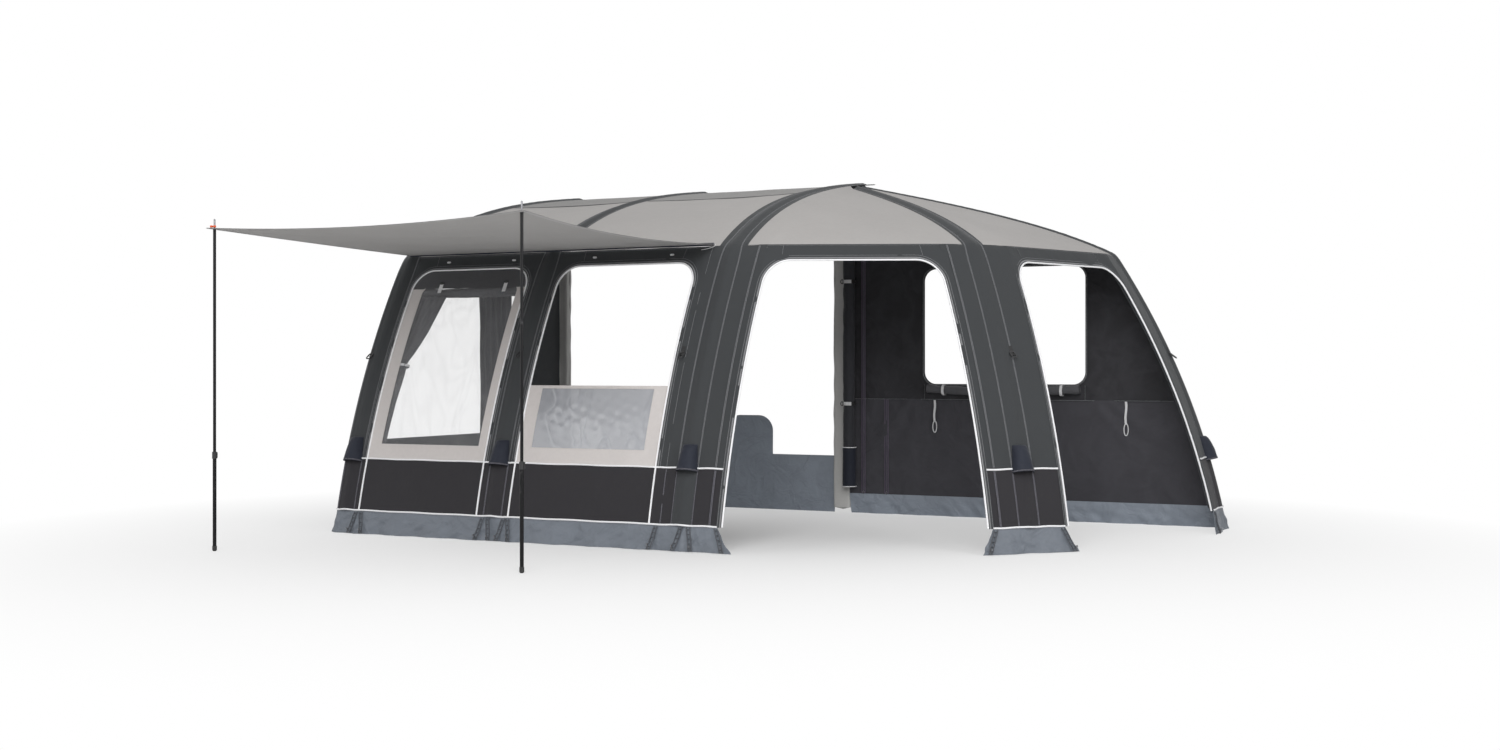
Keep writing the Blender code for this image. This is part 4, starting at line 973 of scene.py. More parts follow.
def lower_panel(bay):
    """The wall below the waist, under a window."""
    number, (run, share, quiet) = bay.number, rows_on(bay, skirt_run, waist_run - 0.001, 14)
    quiet = quiet * np.sin(math.pi * (run - skirt_run) / (waist_run - skirt_run))
    places = bay.share(share, run, FACE + folds(share, run, 0.3, number + 30) * 0.003 * quiet)
    node, beneath = f"lower_panel_{number}", [f"sleeve_{number}_foot"]
    cloth(f"lower_wall_{number}", places, "anthracite", bay.left.ahead, "stretched", node, beneath)


for bay in bays:
    surround(bay)
for bay in bays[:2]:
    lower_panel(bay)


# Windows of the first two bays


def closed_path(path):
    """A path over an opening, closed along its bottom."""
    share, run = path
    back = np.linspace(share[-1], share[0], 24)[1:]
    return np.concatenate([share, back]), np.concatenate([run, np.full(len(back), run[0])])


def window(bay, name, node, top, high, insets, corners, seed, finish, size, grid, lap):
    """A window's cloth border, and its foil lapped under the border and softly uneven."""
    edge, low = HEM + SEAM, WAIST + BORDER_LOW
    left, right = (edge + inset for inset in insets)
    outer = closed_path(arch(bay, WAIST + 0.004, top, edge, edge, corners[0]))
    inner = closed_path(arch(bay, low, high, left, right, corners[1]))
    places, facing, border = between(bay, inner, outer, 8, seed, 0.0012), bay.left.ahead, f"{name}_border"
    cloth(border, places, "beige", facing, "stretched", f"{node}_border_{bay.number}", welded=True)
    hem = [mix(*ends, HEM_SHARE) for ends in zip(outer, inner)]
    bay_tape(f"{border}_hem", bay, hem, 0.006, "white hem")
    across, rise = np.meshgrid(np.linspace(0, 1, grid[1]), np.linspace(0, 1, grid[0]))
    run = mix(wall_run(low - lap), wall_run(high + lap), rise)
    width = bay.width(run)
    share = mix((left - lap) / width, 1 - (right - lap) / width, across)
    quiet = (np.sin(math.pi * across) * np.sin(math.pi * rise)) ** 0.5
    wave = folds(share * width, run, 0.32, 51) + 0.4 * folds(share * width, run, 0.1, 52)
    places, node = bay.share(share, run, (wave * 0.5 + 0.5) * size * quiet), f"{node}_foil_{bay.number}"
    cloth(f"{name}_foil", places, finish, facing, "stretched", node, [node], thick=FOIL)


window(
    bays[0], "front_window", "window", DOOR_TOP - 0.001, DOOR_TOP - BORDER_TOP, (BORDER_LEFT, BORDER_RIGHT),
    (DOOR_CORNER, 0.045), 61, "foil", 0.004, (40, 50), 0.012,
)
window(
    bays[1], "half_window", "half_panel", HALF_TOP, HALF_TOP - HALF_RIM, (HALF_SIDE, HALF_SIDE),
    (0.004, 0.004), 62, "crinkled", 0.006, (60, 90), 0.008,
)


def blind(bay):
    """The blind rolled up inside the front window, under its head."""
    run, count = wall_run(BLIND_LEVEL), 60
    middle = bay.share(np.linspace(0.085, 0.918, count), np.full(count, run), -0.0415)
    middle[:, 2] -= 0.003 * np.sin(math.pi * np.linspace(0, 1, count))
    straps = np.array((0.185, 0.715)) * bay.width(run)
    rolled("window_blind_roll", "blind_roll_1", middle, 0.036, "curtain", 3.4, straps, 0.10)


CURTAIN_TOP, CURTAIN_HEIGHT, CURTAIN_TIE = DOOR_TOP - 0.180, 1.207, 0.39


def curtain(bay):
    """The inside curtain, gathered to the left of the window and tied at its waist."""
    high, low, waist = (wall_run(CURTAIN_TOP - CURTAIN_HEIGHT * share) for share in (0, 1, CURTAIN_TIE))
    share, across = np.linspace(0, 1, 90)[:, None], np.linspace(0, 1, 170)[None]
    pinch = np.interp(share, (0, 0.20, 0.36, 0.42, 0.62, 1), (0.80, 0.60, 0.39, 0.34, 0.29, 0.24))
    pinch = pinch - 0.03 * bump(share - CURTAIN_TIE, 0.03)
    fold = 0.028 * mix(0.3, 1, np.minimum(1, share * 3)) * pinch
    wander = 0.35 * folds(across * 0.34, share * 1.25, 0.5, 71)
    wave = np.cos(across * CIRCLE * 5 + wander) + 0.25 * np.cos(across * CIRCLE * 11 + 2 * wander)
    start, run = HEM + 0.02, mix(high, low, share) + 0 * across
    lift = -(0.0045 + fold * 1.3 + fold * wave)
    places = bay.share((start + 0.34 * pinch * across) / bay.width(run), run, lift)
    name, node, beneath = "window_curtain", "window_curtain_1", ["front_window_border"]
    cloth(name, places, "curtain", bay.left.ahead, "gathered", node, beneath, thick=THIN)
    out, centre = bay.out(waist), bay.at(start + 0.0575, waist, -0.032)
    loop = round_places(np.linspace(0, CIRCLE, 33), RIGHT * 0.0675, out * 0.030)
    tape("curtain_tie", centre + loop, np.cross(RIGHT, out), unit(loop), 0.018, "white strap", thick=0.001)


blind(bays[0])
curtain(bays[0])


# Roof

ROOF_SEAM = 0.80


def roof_main(bay):
    """The roof between two parallel beams: a panel, and a strip along the rail of the same cloth darkened
    with painted shade.
    """
    number, end, seam = bay.number, main_outline.top, main_outline.at_reach(ROOF_SEAM)

    def sag(share, run):
        rise = (run - eave_run) / (end - eave_run)
        return -0.010 * np.sin(math.pi * share) ** 0.7 * np.sin(math.pi * rise)

    # The strip along the rail takes the darker finish, as painted shade
    for name, finish, low, high, rows in (
        ("roof", "roof", eave_run + 0.004, seam, 50), ("roof_strip", "strip", seam + 0.001, end, 40),
    ):
        run, share, quiet = rows_on(bay, low, high, rows)
        wave = folds(share, run * 0.6, 0.5, number + 80) * 0.002 * quiet**0.7
        places = bay.share(share, run, FACE + sag(share, run) + wave)
        cloth(f"{name}_{number}", places, finish, UP, "stretched", f"roof_panel_{number}", bay.sleeves)
    share, run = np.linspace(0, 1, 50), np.full(50, seam)
    middle = bay.share(share, run, FACE + sag(share, run) + 0.001)
    ribbon(f"roof_seam_{number}", middle, bay.out(run), 0.026, "graphite", lift=0.001)


def roof_wing(bay):
    """The roof of the wing between two beams that meet at the hub."""
    left, right = bay.left, bay.right
    closing = (left.high[1] + right.high[0]) / (2 * math.tan((right.turn - left.turn) / 2))
    share = np.linspace(0, 1, 60)
    reach = mix(EAVE_REACH - 0.004, closing + 0.032, share)
    ends = []
    for leg, sign, side in ((left, 1, 1), (right, -1, 0)):
        near = leg.high[side] + 0.0008
        far = mix(leg.low[side], near + 0.004, share)
        run = leg.outline.at_reach(reach)
        ends += [leg.at(run, sign * offset, FACE) for offset in (near, far)]
    first, second, last, third = ends
    places = [mix(first, second, n / 5) for n in range(5)]
    places += [mix(second, third, n / 40) for n in range(41)]
    places += [mix(third, last, n / 5) for n in range(1, 6)]
    places = np.stack(places, axis=1)
    share, wide = share[:, None], np.linspace(0, 1, places.shape[1])[None]
    free = np.sin(math.pi * wide) ** 0.8 * np.sin(math.pi * np.minimum(share * 1.02, 1)) ** 0.9
    places[..., 2] -= (0.014 - folds(wide, share * 1.4, 0.5, bay.number + 90) * 0.0018) * free
    cloth(f"roof_{bay.number}", places, "roof", UP, "stretched", f"roof_panel_{bay.number}", bay.sleeves)


for bay in bays:
    (roof_wing if bay.right.wing else roof_main)(bay)


# Flat walls


def crossings(loop, centre, angles):
    """How far a closed outline lies from a centre in each direction."""
    x, y = (loop - centre).T
    aside, rise = np.roll(x, -1) - x, np.roll(y, -1) - y
    cosine, sine = np.cos(angles)[:, None], np.sin(angles)[:, None]
    cross = cosine * rise - sine * aside
    cross = np.where(np.abs(cross) < 1e-12, 1e-12, cross)
    reach, share = (x * rise - y * aside) / cross, (x * sine - y * cosine) / cross
    met = (share >= -1e-9) & (share <= 1 + 1e-9) & (reach > 0)
    return np.where(met, reach, np.inf).min(axis=1)


def rounded(corners):
    """A closed outline with its corners rounded."""
    corners, points, steps, radius = np.array(corners, float), [], 9, WINDOW_CORNER
    for before, here, after in zip(np.roll(corners, 1, axis=0), corners, np.roll(corners, -1, axis=0)):
        before, after = unit(before - here), unit(after - here)
        half = math.acos(float(before @ after)) / 2
        centre = here + unit(before + after) * (radius / math.sin(half))
        first, last = (here + side * radius / math.tan(half) - centre for side in (before, after))
        points += [centre + unit(mix(first, last, n / steps)) * radius for n in range(steps + 1)]
    return np.array(points)


def holed(outer, inner, rows, spare=180):
    """A flat grid between an outline and the opening in it, with a column at every corner."""
    centre = inner.mean(axis=0)
    x, y = (np.concatenate([outer, inner]) - centre).T
    angles = np.concatenate([np.linspace(-math.pi, math.pi, spare, endpoint=False), np.arctan2(y, x)])
    angles = np.sort(angles)
    angles = angles[np.concatenate([[True], np.diff(angles) > 1e-4])]
    angles = np.append(angles, angles[0])
    ray = np.stack([np.cos(angles), np.sin(angles)], axis=-1)
    near, far = (centre + ray * crossings(loop, centre, angles)[:, None] for loop in (inner, outer))
    return mix(near, far, np.linspace(0, 1, rows)[:, None, None])


def side_outline():
    """The left wall's edge: up the corner leg and over, then down at the caravan."""
    run = np.linspace(skirt_run, main_outline.at_reach(-SIDE_WALL_BACK), 110)
    reach, height = main_outline.spot(run)[:2]
    back, down = wrapped(reach, height)
    edge = np.stack([np.maximum(reach - back, -SIDE_WALL_BACK), height - down], axis=-1)
    return np.concatenate([edge, [(-SIDE_WALL_BACK, SKIRT_TOP)]])


def side_place(flat, lift=0.0):
    """A place on the left wall, from its reach and height."""
    return at_hub(SIDE_X - lift, -flat[..., 0], flat[..., 1])


def side_wall():
    """The left wall with its window of clear foil."""
    back, low, high = 0.45, 0.60, 1.72
    front = [float(Outline.wall(level)) - 0.32 for level in (low, high)]
    inner = rounded(((back, low), (front[0], low), (front[1], high), (back, high)))
    flat = holed(side_outline(), inner, 16)
    free = np.sin(math.pi * np.linspace(0, 1, 16)[:, None])
    wave = folds(flat[..., 0], flat[..., 1], 0.35, 101) * 0.002 * free
    places, options = side_place(flat, np.minimum(wave, 0.0015)), {"welded": True, "metres": flat}
    cloth("side_wall", places, "graphite", LEFT, "stretched", "side_wall_left", ["sleeve_1"], **options)
    aside = inner - inner.mean(axis=0)
    flat = holed(inner + aside * 0.012, inner - aside * 0.99, 24, 120)
    ripple = folds(flat[..., 0], flat[..., 1], 0.4, 102) * 0.0015
    places, options["metres"] = side_place(flat, -0.0015 - np.abs(ripple)), flat
    node = "side_window_foil"
    cloth("side_window", places, "foil", LEFT, "stretched", node, ["side_wall"], thick=FOIL, **options)
    loop = side_place(np.append(inner, inner[:1], axis=0))
    outward = np.cross(directed(loop), LEFT)
    tape("side_window_hem", loop + outward * 0.012, -outward, LEFT, 0.022, "fine stitch")


WINDOW_LEFT, WINDOW_LOW, WINDOW_RIGHT, WINDOW_HIGH = 0.56, 0.98, 1.76, 1.83
rear_window = rounded((
    (WINDOW_LEFT, WINDOW_LOW), (WINDOW_RIGHT, WINDOW_LOW),
    (WINDOW_RIGHT, WINDOW_HIGH), (WINDOW_LEFT, WINDOW_HIGH),
))


def rear_outline():
    """The rear wall's edge: up the end leg, along the wing's roof and down at the rail."""
    levels, reaches = np.linspace(SKIRT_TOP, EAVE_HEIGHT, 40), np.linspace(EAVE_REACH, 0.1003, 60)[1:]
    roof = wing_outline.spot(wing_outline.at_reach(reaches))[1]
    return np.concatenate([
        np.stack([Outline.wall(levels), levels], axis=-1), np.stack([reaches, roof], axis=-1),
        [(0.1003, 2.36), (-REAR_START, 2.36), (-REAR_START, SKIRT_TOP)],
    ])


def rear_place(x, z, lift=0.0):
    """A place on the inner face of the wing's rear wall."""
    return at_hub(x, REAR_WALL_BACK - lift, z)


def pull(x, z, place, angle, length, width, height):
    """A crease that runs from a place on the wall and dies away."""
    x, z, cosine, sine = x - place[0], z - place[1], math.cos(angle), math.sin(angle)
    along, off = x * cosine + z * sine, z * cosine - x * sine
    grow = smoothstep(along / 0.06) * (1 - smoothstep(along / length))
    return height * grow * bump(off, width * (0.5 + along.clip(0) / length))


def rear_wall():
    """The back of the wing: one wall with its window open, creased by its own weight."""
    flat = holed(rear_outline(), rear_window, 34, 260)
    x, z = flat[..., 0], flat[..., 1]
    lift = folds(x, z * 0.6, 0.30, 111) * 0.005 + folds(x * 1.6, z, 0.13, 112) * 0.002
    low_left, low_right = (WINDOW_LEFT, WINDOW_LOW), (WINDOW_RIGHT, WINDOW_LOW)
    for crease in (
        (low_right, -0.62, 1.0, 0.05, 0.022), (low_right, -0.95, 0.8, 0.04, 0.015),
        (low_left, -2.3, 0.7, 0.05, 0.018), (low_left, -1.9, 0.7, 0.04, 0.012),
        ((WINDOW_RIGHT, WINDOW_HIGH), 0.1, 0.4, 0.03, 0.012), ((0.3, 0.86), -1.2, 0.6, 0.05, 0.014),
        ((1.2, 0.86), -1.75, 0.6, 0.06, 0.014), ((1.8, 0.86), -0.8, 0.7, 0.05, 0.016),
    ):
        lift = lift + pull(x, z, *crease)
    free = np.sin(math.pi * np.linspace(0, 1, 34)[:, None]) ** 0.6
    places, options = rear_place(x, z, lift.clip(-0.002, 0.03) * free), {"welded": True, "metres": flat}
    name, node = "rear_wall_cloth", "rear_wall"
    cloth(name, places, "charcoal", FRONT, "hung", node, ["sleeve_5"], thick=0.0018, **options)


side_wall()
rear_wall()


# Air beams and valve hoods

BEAM_RADIUS, BEAM_DEPTH = 0.045, 0.035
POCKET = (0.40, 0.70)
HOOD_ABOVE, HOOD_HEIGHT, HOOD_DEPTH, HOOD_TOP, HOOD_LOW = 0.085, 0.17, 0.052, 0.047, 0.072
VALVE = (
    (0, -0.03), (0.014, -0.03), (0.014, 0.004), (0.0112, 0.005), (0.0112, 0.008), (0.01372, 0.009),
    (0.01372, 0.018), (0.0126, 0.021), (0.0077, 0.021), (0.007, 0.018), (0, 0.018),
)


def valve_spot(leg):
    """The valve's place on the bulge, with the directions up the wall and out of it."""
    low, high = (leg.at(wall_run(level), 0.0) for level in POCKET)
    up = unit(high - low)
    out = np.cross(leg.across, up)
    return (low + high) / 2 + out * 0.014, up, out


def air_beam(leg):
    """The inflated beam behind the cloth, and its valve through the eyelet."""
    run = np.linspace(skirt_run + 0.02, float(sleeve_end(leg, 0.0)) - 0.02, 120)
    middle, name = leg.at(run, 0.0, -BEAM_DEPTH), f"air_beam_cover_{leg.number}"
    beam = hose(name, middle, BEAM_RADIUS, "beam", leg.across, wobble=0.008)
    place, _, out = valve_spot(leg)
    valve = lathe(f"valve_{leg.number}", VALVE, place, out, "black plastic")
    for piece in (beam, valve):
        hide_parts(f"air_beam_{leg.number}")


def hood(leg):
    """A half-round navy flap over the valve, sewn along its top edge."""
    place, up, out = valve_spot(leg)
    hinge = place + up * HOOD_ABOVE + out * 0.003
    name, body = f"valve_cover_{leg.number}", f"hood_{leg.number}"

    def hung(x, y, lift):
        parts = ((x, leg.across), (y, up), (lift, out))
        return hinge + sum(np.multiply.outer(part, axis) for part, axis in parts)

    def sewn(x, down):
        return bulge_at(np.minimum(np.abs(x) / BULGE_LOW, 1)) - down

    share, turn = np.linspace(0, 1, 26)[:, None], np.linspace(0, math.pi, 45)[None]
    sine, deep = np.sin(turn), (1 - (1 - share) ** 2.2) ** 0.42
    x = mix(HOOD_TOP, HOOD_LOW, share) * np.cos(turn)
    lift = HOOD_DEPTH * deep * sine**0.9 + sewn(x, 0.014) * (1 - sine * deep)
    lift = lift + folds(x * 1.5, share * HOOD_HEIGHT, 0.07, leg.number + 140) * 0.0012 * sine * share
    places = hung(x, -HOOD_HEIGHT * share * (1 + 0.02 * sine), lift)
    options = {"body": body, "rests_on": [f"sleeve_{leg.number}"]}
    cloth(name, places, "navy", out, "hung", f"valve_hood_{leg.number}", **options)
    middle = places[24]
    away = unit(np.cross(directed(middle), np.gradient(places, axis=0)[24]))
    away = away * np.sign((away @ out).sum() or 1)
    ribbon(f"{name}_hem", middle, away, 0.008, "dark stitch", body=body)
    x = np.linspace(-HOOD_TOP, HOOD_TOP, 30)
    tape(f"{name}_seam", hung(x, 0 * x + 0.006, sewn(x, 0.0168)), up, out, 0.007, "stitch")


for leg in legs:
    air_beam(leg)
    hood(leg)


# Rolls and pads

FLAP_LEFT, FLAP_RIGHT, FLAP_BACK = 0.592, 1.728, 0.0635
DOOR_ROLL = (-0.025, 0.0517)
PAD, PAD_CORNER, PAD_CROWN = np.array((0.14, 0.08, 2.32)), 0.02, 0.004


def flap_place(x):
    """The middle of the rolled window flap, which hangs a little in its straps."""
    share = (x - FLAP_LEFT) / (FLAP_RIGHT - FLAP_LEFT)
    return at_hub(x, FLAP_BACK, 0.944 - 0.02 * np.sin(math.pi * share))


def cushion(side, low):
    """A long foam pad, rounded at its corners and crowned on its faces."""
    half = PAD / 2 - PAD_CROWN
    turn, rise = np.linspace(0, CIRCLE, 73), np.linspace(-1, 1, 150)[:, None]
    x, y = squared(turn, 0.30)
    end = np.clip((np.abs(rise) * half[2] - (half[2] - PAD_CORNER)) / PAD_CORNER, 0, 1)
    swell = PAD_CROWN * (1 - np.abs(rise) ** 8) * (0.55 + 0.45 * folds(turn * 0.05, rise * half[2], 0.3, 5))
    inner = PAD_CORNER * np.sqrt(1 - end**2) - PAD_CORNER + swell
    wide, deep = ((size + inner) * (end < 1) for size in half[:2])
    places = np.stack(np.broadcast_arrays(x * wide, y * deep, rise * half[2]), axis=-1) + (low + PAD / 2)
    piece = closed_grid(f"pad_{side}", places, table(turn * 0.07, rise[:, 0] * half[2]), "pad")
    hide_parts(f"foam_pad_{side}")


rolled(
    "window_flap_roll", "flap_roll", flap_place(np.linspace(FLAP_LEFT, FLAP_RIGHT, 90)), 0.036, "flap", 3.6,
    (0.10, 1.03), 0.14,
)
upright = at_hub(*DOOR_ROLL, np.linspace(0.202, 2.218, 90))
rolled("door_panel_roll", "door_roll", upright, 0.0485, "roll", 4.2, (0.62, 1.54), 0.10)
cushion("right", (-0.1921, 1.9746, 0.02))
cushion("left", (-2.7418, 2.0296, 0.02))


# Skirts

SKIRT_FLARE, SKIRT_SIDE_FLARE, SKIRT_WAVE, SKIRT_PITCH = 0.035, 0.09, 0.010, 0.30
FLOOR = np.array((1, 1, 0))


def skirt(name, node, tops, outs, facing, seed, finish="skirt", gathers=()):
    """A mud skirt: sheeting from the wall's foot down to the ground, waved along its hem."""
    run, share = travelled(tops), np.linspace(0, 1, 24)[:, None]
    ripple = folds(run, share * 0.3, 0.12, seed) * 0.0035 * smoothstep(share * 1.6)
    for spot in gathers:
        near = bump(run - spot, 0.055) * np.sin((run - spot) * 130)
        ripple = ripple + 0.0045 * near * smoothstep(share * 2) * (1 - 0.5 * share)
    flare = (SKIRT_FLARE + SKIRT_WAVE * np.sin(CIRCLE * run / SKIRT_PITCH)) * share**1.15 + ripple
    places = tops + outs * (flare[..., None] + 0.0005)
    places[..., 2] = mix(SKIRT_TOP + 0.002, 0.0015, share)
    metres = table(run, share[:, 0] * 0.155)
    cloth(name, places, finish, facing, "hung", node, metres=metres, thick=HEAVY)


def straight(first, last, out):
    """Places along a line at about one spacing, each with one outward direction."""
    count = max(3, round(float(np.linalg.norm(last - first)) / 0.012)) + 1
    return spread(first, last, count), np.tile(out, (count, 1))


def splay(tops, outs, across, at_end=False):
    """Turns the outward directions aside over the first or last length of a skirt."""
    run = travelled(tops)
    near = run[-1] - run if at_end else run
    share = (1 - near / (SKIRT_PITCH / 4)).clip(0, 1)
    return outs + share[:, None] * across * (SKIRT_SIDE_FLARE / SKIRT_FLARE)


def main_skirt():
    """The skirt along the left wall, round the corner and along the front up to leg 4."""
    down, first = straight(at_hub(SIDE_X, 0.155, 0), at_hub(SIDE_X, CORNER_WRAP - foot_reach, 0), LEFT)
    turn = np.linspace(0, math.pi / 2, 12)[1:-1]
    bend = round_places(turn, LEFT, FRONT)
    corner = legs[0].at(np.full(len(turn), skirt_run), np.linspace(-0.126, -0.070, len(turn))) * FLOOR
    start = at_hub(-CORNER_OUT - BULGE_LOW, -foot_reach, 0)
    front, second = straight(start, at_hub(legs[2].low[1], -foot_reach, 0), FRONT)
    second = splay(front, second, RIGHT, True)
    tops, outs = np.concatenate([down, corner, front]), np.concatenate([first, bend, second])
    gathers = travelled(tops)[-1] - np.array((2.68, 2.64, 1.67, 1.63, 1.51, 1.48, 0.41, 0.24, 0.19, 0.02))
    skirt("mud_skirt_front", "mud_skirt_main", tops, outs, (-1, -1, 0.3), 201, gathers=gathers)


def leg_skirt(leg):
    tops, outs = straight(*(leg.edge(skirt_run, side) * FLOOR for side in (0, 1)), leg.ahead)
    outs = splay(tops, outs, -leg.across)
    if leg.number == 4:
        outs = splay(tops, outs, leg.across, True)
    skirt(f"mud_skirt_leg_{leg.number}", f"mud_skirt_{leg.number}", tops, outs, leg.ahead, leg.number + 210)


def draught_skirt():
    """The skirt along the caravan's base, raised over its wheel."""
    left, right, top, high = -2.52, -0.1803, 0.43, 0.73
    wheel, bend, gap = (-1.10, -0.70), 0.12, 0.0006
    turn = np.linspace(0, math.pi / 2, 12)
    inset, rise = bend * (1 - np.cos(turn)), high - bend * (1 - np.sin(turn))
    runs = (
        np.linspace(left, wheel[0] - gap, 70), wheel[0] + inset,
        np.linspace(wheel[0] + bend, wheel[1] - bend, 10)[1:-1], wheel[1] - inset[::-1],
        np.linspace(wheel[1] + gap, right, 30),
    )
    heights = (np.full(70, top), rise, np.full(8, high), rise[::-1], np.full(30, top))
    share = np.linspace(0, 1, 22)[:, None]
    x, z = np.concatenate(runs) + 0 * share, np.concatenate(heights) * share + 0.001
    ripple = folds(x, z * 0.5, 0.25, 231) * 0.004 * np.sin(math.pi * share) ** 0.7
    name, places, metres = "draught_skirt_cloth", at_hub(x, 0.1385 + ripple, z), np.stack([x, z], axis=-1)
    options = {"metres": metres, "thick": HEAVY}
    # The draught skirt wears the lighter copy of the skirt sheeting, as painted light
    cloth(name, places, "inner skirt", FRONT, "hung", "draught_skirt", ["pad_right"], **options)


main_skirt()
for leg in legs[3:]:
    leg_skirt(leg)
# The rear skirt wears the lighter copy of the skirt sheeting, as painted light
ends = (at_hub(x, REAR_WALL_BACK, 0) for x in (-REAR_START, foot_reach - 0.004))
skirt("mud_skirt_back", "mud_skirt_rear", *straight(*ends, BACK), BACK, 220, "inner skirt")
draught_skirt()


# Rail bead and canopy


def rail_bead():
    """The bead that slides in the caravan's rail, with its tape."""
    place = (RAIL_BACK + 0.022 + SEAM * 2, RAIL_HEIGHT + 0.001)
    middle = spread(at_hub(-CORNER_OUT - BULGE_HIGH, *place), at_hub(0.10, *place), 200)
    middle[:, 2] += 0.0004 * np.sin(middle[:, 0] * 9)
    bead = hose("rail_cord", middle, 0.0036, "piping", BACK, around=14)
    tail = tape("rail_tape", middle + FRONT * 0.0125, BACK, UP, 0.019, "white strap", lift=0.0, thick=0.001)
    for piece in (bead, tail):
        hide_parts("rail_bead")


def bead_sleeve():
    """The sleeve along the canopy's rear edge, with its bead in it."""
    x = np.linspace(CANOPY_LEFT + 0.002, CANOPY_RIGHT - 0.002, 260)
    middle = at_hub(x, -EAVE_ROD[0], EAVE_ROD[1] + folds(x, 0 * x, 0.5, 241) * 0.0008)
    piece = hose("canopy_rear_bead", middle, ROD_RADIUS * 0.96, "navy", BACK, around=20, wobble=0.02)
    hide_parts("canopy_bead_sleeve")


def canopy_place(u, v, lift=0.0):
    """A place on the canopy, a share of the way across and a share of the way out to the poles."""
    bow_u, bow_v = 4 * u * (1 - u), 4 * v * (1 - v)
    (left_x, left_y), (right_x, right_y) = POLES.values()
    front_x = mix(left_x - CANOPY_MARGIN, right_x + CANOPY_MARGIN, u)
    front_y = mix(left_y, right_y, u) - CANOPY_MARGIN
    x = mix(mix(CANOPY_LEFT, CANOPY_RIGHT, u), front_x, v) + CANOPY_HOLLOW * bow_v * (1 - 2 * u)
    y = mix(-EAVE_ROD[0] - ROD_RADIUS - SEAM, front_y, v) + CANOPY_HOLLOW * bow_u * v * v
    dip = mix(*CANOPY_DIPS, u) * (1 - bow_u) + CANOPY_SAG / 2 * bow_u
    z = mix(EAVE_ROD[1], POLE_HEIGHT, v) - bow_v * dip - CANOPY_FRONT_DIP * bow_u * v * v
    return at_hub(x, y, z + lift)


def canopy_creases(u, v):
    """Soft pulls from the two corners and from the eave, dying away at the edges."""
    total = folds(u * 2.4, v * 1.9, 0.7, 251) * 0.004
    for corner in (0.0, 1.0):
        aside, ahead = np.abs(u - corner) * 2.4, (1 - v) * 1.9
        turn, away = np.arctan2(aside, ahead + 1e-6), np.hypot(aside, ahead)
        total = total + np.sin(turn * 15 + corner) * 0.006 * np.exp(-away / 0.9) * smoothstep(away / 0.15)
    return total * (16 * u * (1 - u) * v * (1 - v)).clip(0, 1) ** 0.5


def canopy():
    """The canopy's cloth, from the eave out to the poles."""
    u, v = np.meshgrid(np.linspace(0, 1, 130), np.linspace(0, 1, 110))
    poles = [f"pole_inner_tube_{side}" for side in POLES]
    places = canopy_place(u, v, canopy_creases(u, v))
    cloth("canopy_cloth", places, "canopy", UP, "stretched", "sun_canopy", poles)


rail_bead()
bead_sleeve()
canopy()


# Fittings that keep their solids

SOLID_LOOKS = {
    "pole_outer_tube": "black tube", "pole_inner_tube": "black tube", "pole_foot": "rubber",
    "pole_clamp": "black plastic", "pole_clamp_lever": "black plastic",
}
solids = {f"{node}_{side}": finish for node, finish in SOLID_LOOKS.items() for side in POLES}
solids |= {f"turn_button_{number}": "white plastic" for number in range(1, 5)}
for node, finish in solids.items():
    bpy.data.objects[node].data.materials[0] = looks[finish][0]


# Piping and stitching


def leg_piping(leg):
    """The piping round a leg at its waist and foot, which stops beside the middle leg's strip."""
    number, left, right = leg.number, -leg.low[0], leg.low[1]
    lines = [(f"waist_piping_{number}", waist_run, left, right)]
    if number == 3:
        lines = [("waist_piping_3_left", waist_run, left, -BULGE_LOW)]
        lines += [("waist_piping_3_right", waist_run, BULGE_LOW, right)]
    for name, run, first, last in (*lines, (f"foot_piping_{number}", skirt_run + 0.004, left, right)):
        offset = np.linspace(first, last, 50)
        piping(name, leg.face(run + 0.0015 * np.sin(offset * 31 + number), offset, PIPING * 0.4))


def bay_piping(bay):
    """The piping along a lower wall's waist and foot and up its sides."""
    number, lift, foot = bay.number, FACE + PIPING * 0.4, skirt_run + 0.004
    share = np.linspace(0, 1, 60)
    for name, run in (("waist", waist_run), ("foot", foot)):
        piping(f"{name}_piping_bay_{number}", bay.share(share, run + 0.0012 * np.sin(share * 17), lift))
    for name, inset in (("left", HEM), ("right", -HEM)):
        piping(f"lower_piping_{number}_{name}", bay.at(inset, np.linspace(foot, waist_run, 24), lift))


def edge_stitches(leg, side, name):
    """Two lines of stitching up one edge of a leg."""
    for part, low, high, finish in (
        ("upper", waist_run + 0.01, eave_run - 0.01, "stitch"),
        ("lower", skirt_run + 0.01, waist_run - 0.01, "dark stitch"),
    ):
        run = np.linspace(low, high, 90)
        middle, out = leg.edge(run, side, FACE + 0.0022, -0.05), leg.out(run)
        tape(f"edge_stitching_{leg.number}_{name}_{part}", middle, leg.across, out, 0.014, finish)


for leg in legs:
    leg_piping(leg)
edge_stitches(legs[3], 0, "left")
edge_stitches(legs[2], 1, "right")
for bay in bays[:2]:
    bay_piping(bay)
leg = legs[2]
for name, low, high, finish in (
    ("side", waist_run, eave_run, "fine stitch"), ("foot", skirt_run, waist_run, "dark stitch"),
):
    run = np.linspace(low, high, int((high - low) / 0.02))
    tape(f"sleeve_3_{name}_stitching", leg.face(run, -0.145), leg.across, leg.out(run), 0.008, finish)
run = np.linspace(wall_run(DOOR_TOP + 0.03), eave_run - 0.004, 8)
for number, name, share, slant in (
    (2, "left", 0.17, -0.01), (2, "right", 0.86, 0.01), (1, "left", 0.17, -0.01), (3, "left", 0.10, -0.005),
    (3, "right", 0.89, -0.005), (4, "left", 0.10, -0.01), (4, "right", 0.86, -0.01),
):
    path = np.linspace(share, share + slant, 8), run
    bay_tape(f"header_stitching_{number}_{name}", bays[number - 1], path, 0.007, "fine stitch")
